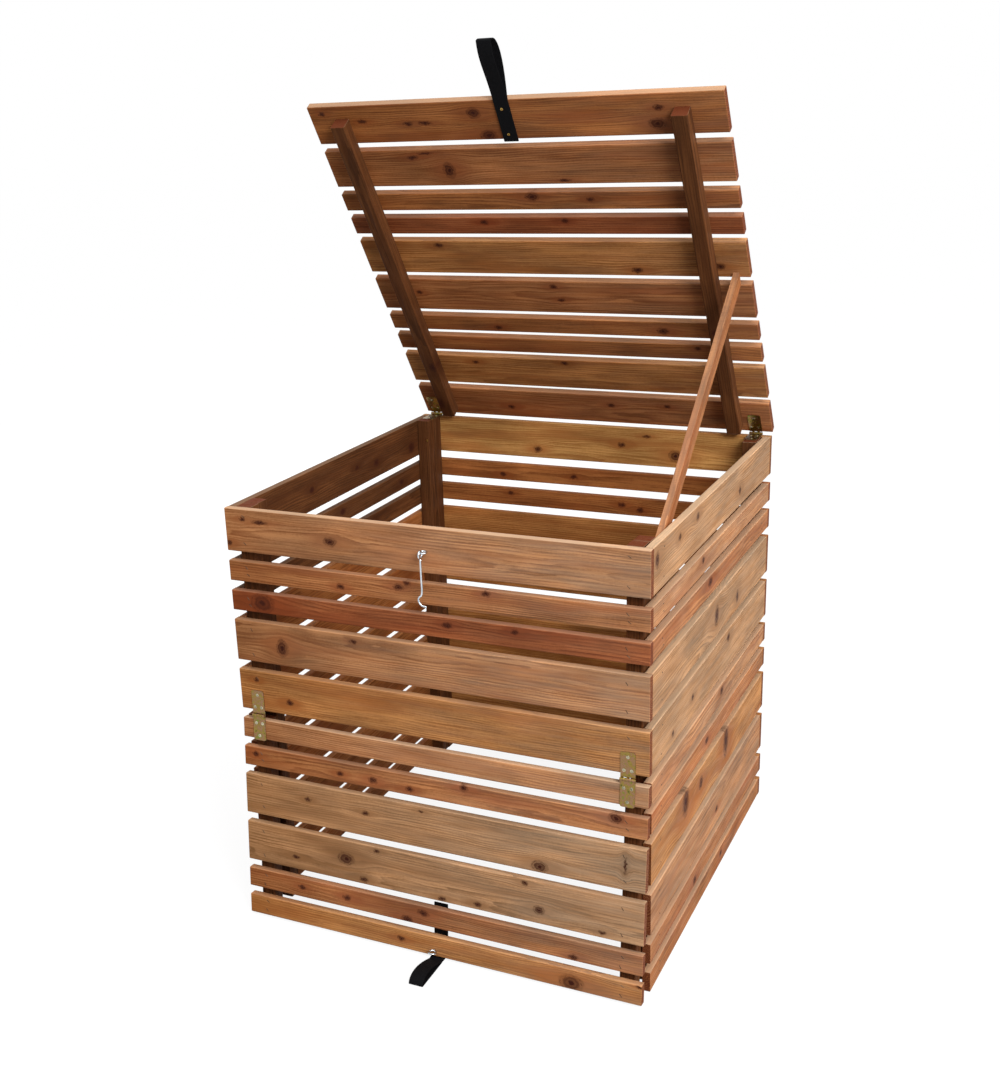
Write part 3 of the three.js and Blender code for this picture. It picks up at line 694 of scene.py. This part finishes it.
class BIN_OT_walls(bpy.types.Operator):
    """Builds the back and left walls board by board, in the rows of the right one"""

    bl_idname = "compost_bin.walls"
    bl_label = "Back and left walls"

    # These boards are numbered on from here, which keeps their figures apart from the others'
    first_index = 100

    def execute(self, context):
        settings = context.scene.bin_timber
        back_low, back_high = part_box("back_wall")
        left_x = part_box("left_wall")[0].x
        thick = SLAT_THICK * MM
        inner_y = back_high.y - thick
        index = self.first_index
        for row in range(1, ROWS + 1):
            low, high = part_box(f"right_slat_{row}")
            index += 2
            back = Vector((back_low.x, inner_y, low.z)), Vector((back_high.x, back_high.y, high.z))
            left = Vector((left_x, low.y, low.z)), Vector((left_x + thick, high.y, high.z))
            make_board(f"back_slat_{row}", *back, "bin", ["back_wall"], index, settings)
            make_board(f"left_slat_{row}", *left, "bin", ["left_wall"], index + 1, settings)
        for name in ("right_batten_front", "right_batten_rear", "front_batten_right"):
            low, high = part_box(name)
            index += 1
            mirrored = Vector((-high.x, low.y, low.z)), Vector((-low.x, high.y, high.z))
            mirror_name = name.replace("right", "left")
            make_board(mirror_name, *mirrored, "bin", ["left_wall"], index, settings)
        cross_low, cross_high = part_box("front_batten_right")
        for name, near, far in (
            ("back_batten_left", -cross_high.x, -cross_low.x),
            ("back_batten_right", cross_low.x, cross_high.x),
        ):
            index += 1
            low = Vector((near, back_low.y, back_low.z))
            high = Vector((far, inner_y, back_high.z))
            make_board(name, low, high, "bin", ["back_wall"], index, settings)
        return {"FINISHED"}


class BIN_OT_prop(bpy.types.Operator):
    """Finishes the sawn prop stick and eases its edges"""

    bl_idname = "compost_bin.prop"
    bl_label = "Prop stick"

    figure = 7
    saw_marks = 1.6
    sharpest_flat = math.radians(20)

    def execute(self, context):
        node = NODES["prop_stick"]
        middle = sum((v.co for v in node.data.vertices), Vector()) / len(node.data.vertices)
        upper = [v.co for v in node.data.vertices if v.co.z > middle.z]
        along = (sum(upper, Vector()) / len(upper) - middle).normalized()
        across = along.cross(Vector((0, -1, 0))).normalized()
        local = Matrix((along, -across, along.cross(-across))).transposed().to_4x4()
        local.translation = middle
        tone, knots = LOOKS["prop_stick"]
        material = timber_material("prop_stick", tone, knots, local, self.figure, saw=self.saw_marks)
        shape = bmesh.new()
        shape.from_mesh(node.data)
        bmesh.ops.remove_doubles(shape, verts=shape.verts, dist=0.01 * MM)
        bmesh.ops.dissolve_limit(shape, angle_limit=math.radians(1), verts=shape.verts, edges=shape.edges)
        corners = [e for e in shape.edges if e.calc_face_angle(0.0) > self.sharpest_flat]
        ease = context.scene.bin_timber.edge * 0.4
        bmesh.ops.bevel(shape, geom=corners, offset=ease, segments=2, **ROUND)
        finish_mesh("prop_stick_sawn", shape, "prop", material, ["prop_stick"])
        return {"FINISHED"}


def cross_head(shape, place, radius):
    """A screw head: a low round button with a cross-shaped recess pushed in."""
    crown, recess, taper, skirt_height = 0.1, 0.35, 0.8, 0.25
    # Where the grid's lines lie, from the rim in to the arms of the cross
    levels = (1.0, 0.62, 0.17)
    cuts = 2 * len(levels) - 1
    made = bmesh.ops.create_grid(shape, x_segments=cuts, y_segments=cuts, size=1.0)["verts"]
    step = 2 / cuts

    def level(value):
        return math.copysign(levels[round((1 - abs(value)) / step)], value)

    for vert in made:
        vert.co.x, vert.co.y = level(vert.co.x), level(vert.co.y)
        if max(abs(vert.co.x), abs(vert.co.y)) > 0.99:
            vert.co = vert.co.normalized()
        else:
            vert.co.z = crown
    top = list({face for vert in made for face in vert.link_faces})
    cross = [
        face for face in top
        if min(abs(face.calc_center_median().x), abs(face.calc_center_median().y)) < 0.1
        and face.calc_center_median().length < 0.6
    ]
    sunk = bmesh.ops.extrude_face_region(shape, geom=cross)["geom"]
    sunk_verts = [item for item in sunk if isinstance(item, bmesh.types.BMVert)]
    bmesh.ops.delete(shape, geom=cross, context="FACES_ONLY")
    bmesh.ops.translate(shape, vec=(0, 0, -recess), verts=sunk_verts)
    bmesh.ops.scale(shape, vec=(taper, taper, 1.0), verts=sunk_verts)
    head = list({vert for face in top if face.is_valid for vert in face.verts} | set(made) | set(sunk_verts))
    rim = [e for e in shape.edges if len(e.link_faces) == 1 and e.verts[0] in head and e.verts[1] in head]
    skirt = bmesh.ops.extrude_edge_only(shape, edges=rim)["geom"]
    skirt_verts = [item for item in skirt if isinstance(item, bmesh.types.BMVert)]
    bmesh.ops.translate(shape, vec=(0, 0, -skirt_height), verts=skirt_verts)
    bmesh.ops.transform(shape, matrix=place @ Matrix.Scale(radius, 4), verts=head + skirt_verts)


def nail_head(shape, place, radius):
    made = bmesh.ops.create_cone(
        shape, cap_ends=True, segments=10, radius1=radius, radius2=radius * 0.8, depth=radius * 0.35
    )
    bmesh.ops.transform(shape, matrix=place, verts=made["verts"])


def staple_crown(shape, place, wire):
    """The crown of a staple, driven in aslant."""
    made = bmesh.ops.create_cube(shape, size=1.0)["verts"]
    bmesh.ops.scale(shape, vec=(wire * 6.5, wire, wire * 0.7), verts=made)
    crown = [e for e in shape.edges if e.verts[0] in made]
    rounded = bmesh.ops.bevel(shape, geom=crown, offset=wire * 0.25, segments=1, **ROUND)
    bmesh.ops.transform(shape, matrix=place, verts=rounded["verts"])


def hinge_places():
    """Each hinge leaf's body and its frame: the leaf lies towards -Y with the wood below it."""
    lid_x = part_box("lid_hinge_right_pin")
    hatch_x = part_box("hatch_hinge_right_pin")
    lid_reach = (lid_x[0].x + lid_x[1].x) / 2 / MM
    hatch_reach = (hatch_x[0].x + hatch_x[1].x) / 2 / MM
    for side in (-1, 1):
        lid, hatch = shift(side * lid_reach, 0, 0), shift(side * hatch_reach, 0, 0)
        yield "bin", joint_place("lid_hinge") @ lid
        yield "lid", PANELS["lid"] @ lid @ turn(180, "Y")
        yield "bin", joint_place("hatch_hinge") @ hatch @ turn(180, "Y") @ turn(90, "X")
        yield "hatch", PANELS["hatch"] @ hatch @ turn(90, "X")


def smooth_route(points, steps):
    """Points on a smooth curve through the given ones."""
    ends = [2 * points[0] - points[1], *points, 2 * points[-1] - points[-2]]
    route = []
    for a, b, c, d in zip(ends, ends[1:], ends[2:], ends[3:]):
        for step in range(steps):
            t = step / steps
            bend = (c - a) * t + (2 * a - 5 * b + 4 * c - d) * t**2 + (3 * b - a - 3 * c + d) * t**3
            route.append(b + bend / 2)
    return route + [points[-1]]


def sweep(shape, points, radius, sides, closed=False):
    """A round wire along points, from circles bridged one to the next."""
    loops = []
    count = len(points)
    for index, point in enumerate(points):
        before = points[index - 1] if index or closed else point
        after = points[(index + 1) % count] if index < count - 1 or closed else point
        turned = (after - before).to_track_quat("Z", "X").to_matrix().to_4x4()
        matrix = Matrix.Translation(point) @ turned
        verts = bmesh.ops.create_circle(shape, segments=sides, radius=radius, matrix=matrix)["verts"]
        loops.append([e for e in shape.edges if e.verts[0] in verts and e.verts[1] in verts])
    for index in range(count - 1):
        bmesh.ops.bridge_loops(shape, edges=loops[index] + loops[index + 1])
    if closed:
        bmesh.ops.bridge_loops(shape, edges=loops[-1] + loops[0])
    else:
        bmesh.ops.holes_fill(shape, edges=loops[0] + loops[-1], sides=sides)


class BIN_OT_ironmongery(bpy.types.Operator):
    """Plates the hinges, drives their screws, and bends the hook and its eyes from wire"""

    bl_idname = "compost_bin.ironmongery"
    bl_label = "Ironmongery"

    screws = ((-8, -19), (8, -19), (0, -48))
    leaf_top = -1.9
    head_height = 0.6
    screw_turn = 37
    sides = 12
    ring_steps = 28
    route_steps = 7
    eye_wire = 1.9
    eye_radius = 8
    eye_neck = 4
    hook_wire = 2.1
    hook_loop = 7.4
    hook_drop = 3.1
    hook_route = ((0, -10.5), (0, -47), (0, -84), (-6.8, -93.25), (-8, -100.75), (-2, -109.5), (9, -112))

    def ring(self, shape, radius, wire):
        """A ring of round wire in the XY plane."""
        start = shift(radius, 0, 0) @ turn(90, "X")
        made = bmesh.ops.create_circle(shape, segments=self.sides, radius=wire * MM, matrix=start)["verts"]
        edges = list({edge for vert in made for edge in vert.link_edges})
        bmesh.ops.spin(
            shape, geom=made + edges, cent=(0, 0, 0), axis=(0, 0, 1), angle=2 * math.pi,
            steps=self.ring_steps, use_merge=True,
        )

    def eye(self, name, panel, material):
        """A screw eye: its ring lies level and its neck runs into the wood."""
        low, high = drawn_box(name, panel)
        seat = Vector(((low.x + high.x) / 2, high.y, (low.z + high.z) / 2))
        reach = (self.eye_neck + self.eye_radius) * MM
        wire = self.eye_wire * MM
        length = self.eye_neck * MM
        shape = bmesh.new()
        self.ring(shape, self.eye_radius, self.eye_wire)
        neck = Matrix.Translation((0, reach - length / 2, 0)) @ turn(90, "X")
        bmesh.ops.create_cone(
            shape, cap_ends=True, segments=self.sides, radius1=wire, radius2=wire, depth=length,
            matrix=neck,
        )
        shape.transform(PANELS[panel] @ Matrix.Translation(seat - Vector((0, reach, 0))))
        finish_mesh(name + "_wire", shape, panel, material, [name], smooth=True)

    def hook(self, material):
        """The hook: a closed loop, a straight shank, a kink and a blunt tip."""
        shape = bmesh.new()
        self.ring(shape, self.hook_loop, self.hook_wire)
        shape.transform(shift(0, 0, -self.hook_drop) @ turn(90, "Y"))
        route = smooth_route([mm(x, 0, z) for x, z in self.hook_route], self.route_steps)
        sweep(shape, route, self.hook_wire * MM, self.sides)
        shape.transform(joint_place("hook_swing"))
        finish_mesh("hook_wire", shape, "hook", material, ["hook"], smooth=True)

    def execute(self, context):
        settings = context.scene.bin_metal
        plate = [linear(code) for code in ("#5C5A2C", "#8A703F", "#94705A", "#86703E", "#77803A")]
        plate.insert(1, list(settings.yellow_zinc))
        yellow = plated_material("yellow_passivated_zinc", plate, 0.2, 0.4)
        zinc = [linear("#A4AEB7"), list(settings.bright_zinc)]
        bright = plated_material("bright_zinc_plate", zinc, 0.1, 0.22)
        pale = plated_material("clear_passivated_screws", [linear("#7A7258"), linear("#D2CCB4")], 0.15, 0.35)
        for name, node in NODES.items():
            if "_hinge_" in name:
                paint(node, yellow)
        self.eye("front_eye", "bin", bright)
        self.eye("hatch_eye", "hatch", bright)
        self.hook(bright)
        heads = {body: bmesh.new() for body in ("bin", "lid", "hatch")}
        for index, (body, place) in enumerate(hinge_places()):
            for number, (x, y) in enumerate(self.screws):
                seat = place @ shift(x, y, self.leaf_top + self.head_height)
                driven = seat @ turn(self.screw_turn * (index + number), "Z")
                cross_head(heads[body], driven, settings.screw_head)
        for body, shape in heads.items():
            finish_mesh(f"hinge_screws_{body}", shape, body, pale)
        return {"FINISHED"}


class BIN_OT_fixings(bpy.types.Operator):
    """Drives the nails of the side slats, the staples of the front ones and the batten screws"""

    bl_idname = "compost_bin.fixings"
    bl_label = "Nails, staples and screws"

    nail_rear = -66
    nail_front = -871
    staple_inset = 44
    staple_wire = 1.3
    staple_slant = -48
    spread_wide = 29
    spread_narrow = 9.5
    proud = 0.15
    screwed_rows = (1, 5, 8)
    batten_screw_x = 424.6
    batten_screw_y = -77.6
    batten_screw_drop = 5

    def rows_of(self, pattern, count, panel):
        """Two fixings a board, hand driven: the board's box, the height and how far it wanders."""
        for row in range(1, count + 1):
            low, high = drawn_box(f"{pattern}_{row}", panel)
            middle = (low + high) / 2 / MM
            spread = self.spread_wide if is_wide(low, high) else self.spread_narrow
            for sign in (-1, 1):
                wander = 3 * math.sin(row * 5.1 + sign * 2.3)
                yield low / MM, high / MM, middle.z + sign * spread + wander, wander

    def execute(self, context):
        settings = context.scene.bin_metal
        dull = plated_material("rusted_steel_wire", [linear("#2E241D"), linear("#5A4C40")], 0.4, 0.6)
        brass = plated_material("brass_plate", [linear("#A07A36"), linear("#CDAA5E")], 0.22, 0.4)
        nails = bmesh.new()
        for low, high, z, wander in self.rows_of("right_slat", ROWS, "bin"):
            for y in (self.nail_rear, self.nail_front):
                for x, out in ((high.x + self.proud, OUT_RIGHT), (-high.x - self.proud, OUT_LEFT)):
                    nail_head(nails, shift(x, y + wander, z) @ out, settings.nail_head)
        finish_mesh("side_nails", nails, "bin", dull)
        hatch_rows = ROWS - FIXED_ROWS
        for pattern, count, panel in (("front_slat", FIXED_ROWS, "bin"), ("hatch_slat", hatch_rows, "hatch")):
            staples = bmesh.new()
            for low, high, z, wander in self.rows_of(pattern, count, panel):
                for side in (-1, 1):
                    x = side * (high.x - self.staple_inset) + wander
                    place = PANELS[panel] @ shift(x, low.y - self.proud, z) @ OUT_FRONT
                    slant = turn(self.staple_slant + 5 * wander, "Z")
                    staple_crown(staples, place @ slant, self.staple_wire * MM)
            finish_mesh(f"{panel}_staples", staples, panel, dull)
        backs = bmesh.new()
        for row in self.screwed_rows:
            low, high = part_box(f"right_slat_{row}")
            z = (low.z + high.z) / 2 / MM - self.batten_screw_drop
            for side in (-1, 1):
                place = shift(side * self.batten_screw_x, self.batten_screw_y - self.proud, z) @ OUT_FRONT
                cross_head(backs, place, settings.screw_head * 0.9)
        finish_mesh("batten_screws", backs, "bin", brass)
        return {"FINISHED"}


def ribbon(points, width):
    """A strap along points: a grid whose rows are laid along them, with UVs in millimetres."""
    shape = bmesh.new()
    steps = len(points) - 1
    made = bmesh.ops.create_grid(shape, x_segments=6, y_segments=steps, size=1.0)["verts"]
    run = [0.0]
    for a, b in zip(points, points[1:]):
        run.append(run[-1] + (b - a).length / MM)
    spots = {}
    for vert in made:
        # The outer columns stand close together, which keeps the selvedges and cut ends square
        across = math.copysign(abs(vert.co.x) ** 0.4, vert.co.x)
        spots[vert] = (across, round((vert.co.y + 1) / 2 * steps))
    layer = shape.loops.layers.uv.new("weave")
    for face in shape.faces:
        for loop in face.loops:
            x, row = spots[loop.vert]
            loop[layer].uv = (x * width / 2 / MM, run[row])
    for vert, (x, row) in spots.items():
        vert.co = points[row] + Vector((x * width / 2, 0, 0))
    return shape


def strap_route(place, tail, loop, opening, bow, thickness, steps):
    """Middle line of a folded strap, from one tail's end round the loop to the other's, in mm.

    The ply next to the wood bulges by the opening, most near the fold, and the other by the bow.
    """
    inner, outer = thickness * 0.5, thickness * 1.5
    route = [(-along, inner) for along in tail]
    bulge = []
    for step in range(1, steps):
        angle = math.pi * step / steps
        swell = math.sin(angle) * math.sin(angle / 2) ** 1.2
        bulge.append(((loop - thickness) * (1 - math.cos(angle)) / 2, inner - opening * swell))
    bowed = [
        (along, outer + bow * math.sin(math.pi * (along / loop) ** 2.2)) for along, _ in reversed(bulge)
    ]
    fold = [(loop - inner, thickness)]
    back = [(-along, outer) for along in reversed(tail)]
    return [place(along, across) for along, across in route + bulge + fold + bowed + back]


class BIN_OT_webbing(bpy.types.Operator):
    """Folds the lid's and the hatch's pulls out of woven webbing and screws the lid's on"""

    bl_idname = "compost_bin.webbing"
    bl_label = "Webbing pulls"

    # Places and lengths in millimetres. Tails are stops along them, closest where they bend or end.
    lid_x = 6
    lid_seat = 0.3
    lid_tail = (99, 98, 85, 70, 50, 30, 12, 4, 0)
    lid_loop = 139
    lid_opening = 34
    lid_bow = 7
    lid_screws = (20, 81.5)
    lid_screws_x = 4.3
    screw_proud = 0.4
    hatch_x = 9
    hatch_seat = 0.6
    hatch_tail = 117
    hatch_stops = (105, 80, 40)
    hatch_bend = 2.8
    hatch_run = 24
    hatch_lift = 0.5
    hatch_loop = 98
    hatch_opening = 22
    loop_start = 0.3
    bend_steps = 6

    def strap(self, name, route, x, body, node, settings, material):
        """One strap of webbing along a route in the panel that it hangs on."""
        panel = "lid" if body == "lid" else "hatch"
        shape = ribbon([mm(x, *point) for point in route], settings.width)
        shape.transform(PANELS[panel])
        thing = finish_mesh(name, shape, body, material, [node], smooth=True)
        solid = thing.modifiers.new("thickness", "SOLIDIFY")
        solid.thickness = settings.thickness * 0.96
        solid.offset = 0.0
        soft = thing.modifiers.new("soft", "SUBSURF")
        soft.levels = soft.render_levels = 1

    def lid_pull(self, on_lid, settings, material):
        """The lid's pull: its tails lie under the first slat and its loop stands past the edge."""
        form = (self.lid_loop, self.lid_opening, self.lid_bow)
        route = strap_route(on_lid, self.lid_tail, *form, settings.thickness / MM, settings.steps)
        self.strap("lid_strap", route, self.lid_x, "lid", "lid_pull", settings, material)

    def lid_pull_screws(self, on_lid, depth, radius):
        """The two brass screws through both tails of the lid's pull."""
        heads = bmesh.new()
        for along in self.lid_screws:
            y, z = on_lid(-along, depth)
            seat = PANELS["lid"] @ shift(self.lid_screws_x, y, z - self.screw_proud)
            cross_head(heads, seat @ OUT_BELOW @ turn(along, "Z"), radius)
        finish_mesh("lid_strap_screws", heads, "lid", bpy.data.materials["brass_plate"])

    def hatch_pull(self, settings, material):
        """The hatch's pull: down behind the slats, round a bend and out along the ground."""
        thick = settings.thickness / MM
        _, high = drawn_box("hatch_slat_1", "hatch")
        bend, run_out, ground = self.hatch_bend, self.hatch_run, self.hatch_lift + 2 * thick
        ajar = math.radians(HATCH_AJAR)
        quarter = math.pi / 2 - ajar
        axis_height = joint_place("hatch_hinge").translation.z / MM
        middle_y = high.y / MM + self.hatch_seat - bend
        middle_z = (ground + bend - axis_height + middle_y * math.sin(ajar)) / math.cos(ajar)
        arc = bend * quarter

        def on_hatch(along, across):
            distance = along + arc + run_out
            angle = min(max(distance / bend, 0), quarter)
            reach = bend + across
            straight = distance if distance < 0 else max(distance - arc, 0)
            y = middle_y + reach * math.cos(angle) - straight * math.sin(angle)
            z = middle_z - reach * math.sin(angle) - straight * math.cos(angle)
            return y, z

        form = (self.hatch_loop, self.hatch_opening, 0)
        route = strap_route(on_hatch, [self.loop_start], *form, thick, settings.steps)
        loop = ("hatch_loop", "hatch_pull_loop")
        self.strap("hatch_strap_loop", route, self.hatch_x, *loop, settings, material)
        total = self.hatch_tail + arc + run_out
        stops = [total, total - 1, *(stop + run_out for stop in self.hatch_stops)]
        stops += [arc + run_out - arc * step / self.bend_steps for step in range(self.bend_steps + 1)]
        stops += [run_out / 2, self.loop_start]
        for name, across in (("hatch_strap_inner", thick * 0.5), ("hatch_strap_outer", thick * 1.5)):
            route = [on_hatch(-along, across) for along in stops]
            self.strap(name, route, self.hatch_x, "hatch", "hatch_pull_tail", settings, material)

    def execute(self, context):
        settings = context.scene.bin_webbing
        material = webbing_material(settings)
        low, _ = drawn_box("lid_slat_1", "lid")
        edge, underside = low.y / MM, low.z / MM

        def on_lid(along, across):
            return edge - along, underside - self.lid_seat - across

        self.lid_pull(on_lid, settings, material)
        self.hatch_pull(settings, material)
        radius = context.scene.bin_metal.screw_head * 0.85
        self.lid_pull_screws(on_lid, 2 * settings.thickness / MM, radius)
        return {"FINISHED"}


class BIN_OT_stage(bpy.types.Operator):
    """Sets the floor, the lights and the camera"""

    bl_idname = "compost_bin.stage"
    bl_label = "Stage"

    yaw = 26.19
    pitch = 18.84
    roll = -2.37
    spot = (1199.08, -3270.64, 1753.75)
    focal_px = 1378.96
    centre_px = (450.58, 575.94)
    frame_px = (1000, 1070)
    sensor = 36.0
    floor_reach = 30.0
    floor_drop = 0.2
    aimed_at = (0, -0.47, 0.8)
    # Each lamp's kind, its place, and the sun's angle or the lamp's size
    lamps = {
        "top": ("SUN", (0.6, -1.2, 5.0), 1.2),
        "key": ("AREA", (4.0, -0.6, 1.2), 1.4),
        "fill": ("AREA", (3.0, -3.3, 3.3), 2.0),
        "rear": ("AREA", (-3.6, 3.0, 1.0), 2.0),
    }

    def camera(self, scene):
        camera = bpy.data.objects.new("camera", bpy.data.cameras.new("camera"))
        scene.collection.objects.link(camera)
        yaw, pitch, roll = (math.radians(a) for a in (self.yaw, self.pitch, self.roll))
        ahead = Vector((-math.sin(yaw) * math.cos(pitch), math.cos(yaw) * math.cos(pitch), -math.sin(pitch)))
        level = Vector((math.cos(yaw), math.sin(yaw), 0.0))
        upright = level.cross(ahead)
        right = math.cos(roll) * level + math.sin(roll) * upright
        up = -math.sin(roll) * level + math.cos(roll) * upright
        matrix = Matrix((right, up, -ahead)).transposed().to_4x4()
        matrix.translation = mm(*self.spot)
        camera.matrix_world = matrix
        wide, tall = self.frame_px
        camera.data.sensor_width = self.sensor
        camera.data.lens = self.sensor * self.focal_px / tall
        camera.data.shift_x = (wide / 2 - self.centre_px[0]) / tall
        camera.data.shift_y = (self.centre_px[1] - tall / 2) / tall
        scene.camera = camera

    def floor(self, scene):
        shape = bmesh.new()
        bmesh.ops.create_grid(shape, x_segments=1, y_segments=1, size=self.floor_reach)
        bmesh.ops.translate(shape, vec=(0, 0, CAD_BOX[0].z - self.floor_drop * MM), verts=shape.verts)
        data = bpy.data.meshes.new("floor")
        shape.to_mesh(data)
        shape.free()
        floor = bpy.data.objects.new("floor", data)
        scene.collection.objects.link(floor)
        material, tree, shader = new_material("pale_floor")
        shader["Base Color"].default_value = linear("#808080")
        shader["Roughness"].default_value = 0.9
        surface = tree.nodes["Principled BSDF"].outputs[0]
        glow = add(tree, "Emission", named={"Strength": 1.03})
        white = add(tree, "BsdfDiffuse", linear("#F0F0F0"))
        lit = add(tree, "MixShader", 0.85, white, glow)
        both = add(tree, "MixShader", self.seen(tree), surface, lit)
        tree.links.new(both, tree.nodes["Material Output"].inputs["Surface"])
        paint(floor, material)

    def seen(self, tree):
        """One for rays that show the backdrop rather than light the bin."""
        path = add(tree, "LightPath", out=None)
        found = path["Is Camera Ray"]
        for label in ("Is Transmission Ray", "Is Glossy Ray"):
            found = add(tree, "Math", found, path[label], operation="MAXIMUM")
        return found

    def execute(self, context):
        settings = context.scene.bin_stage
        scene = context.scene
        scene.view_settings.view_transform = "Standard"
        self.camera(scene)
        self.floor(scene)
        world = bpy.data.worlds.new("studio")
        scene.world = world
        world.use_nodes = True
        tree = world.node_tree
        strength = add(tree, "MapRange", self.seen(tree), 0.0, 1.0, settings.sky, 1.0)
        tree.links.new(strength, tree.nodes["Background"].inputs["Strength"])
        tree.nodes["Background"].inputs["Color"].default_value = (1, 1, 1, 1)
        for name, (kind, spot, size) in self.lamps.items():
            light = bpy.data.lights.new(name, kind)
            light.energy = getattr(settings, name)
            if kind == "SUN":
                light.angle = size
            else:
                light.size = size
            lamp = bpy.data.objects.new(name, light)
            scene.collection.objects.link(lamp)
            lamp.location = spot
            # The rear lamp would show as a grey sheen on the edges that are seen through the gaps
            lamp.visible_glossy = name != "rear"
            aim = Vector(self.aimed_at) - Vector(spot)
            lamp.rotation_euler = aim.to_track_quat("-Z", "Y").to_euler()
        return {"FINISHED"}


class BIN_PT_panel(bpy.types.Panel):
    """Lists the steps that dress the bin"""

    bl_idname = "BIN_PT_panel"
    bl_label = "Compost bin"
    bl_space_type = "VIEW_3D"
    bl_region_type = "UI"
    bl_category = "Compost bin"

    def draw(self, context):
        for step in STEPS:
            self.layout.operator(step.bl_idname)
        for group, name in GROUPS.items():
            for prop in group.__annotations__:
                self.layout.prop(getattr(context.scene, name), prop)


STEPS = (
    BIN_OT_stage, BIN_OT_boards, BIN_OT_walls, BIN_OT_prop, BIN_OT_ironmongery, BIN_OT_fixings,
    BIN_OT_webbing,
)
GROUPS = {
    TimberSettings: "bin_timber",
    MetalSettings: "bin_metal",
    WebbingSettings: "bin_webbing",
    StageSettings: "bin_stage",
}


def register():
    for group, name in GROUPS.items():
        bpy.utils.register_class(group)
        setattr(bpy.types.Scene, name, PointerProperty(type=group))
    for kind in (*STEPS, BIN_PT_panel):
        bpy.utils.register_class(kind)


def unregister():
    for kind in (*STEPS, BIN_PT_panel):
        bpy.utils.unregister_class(kind)
    for group, name in GROUPS.items():
        delattr(bpy.types.Scene, name)
        bpy.utils.unregister_class(group)


def main():
    register()
    for step in STEPS:
        getattr(bpy.ops.compost_bin, step.bl_idname.split(".")[1])()


if __name__ == "__main__":
    main()
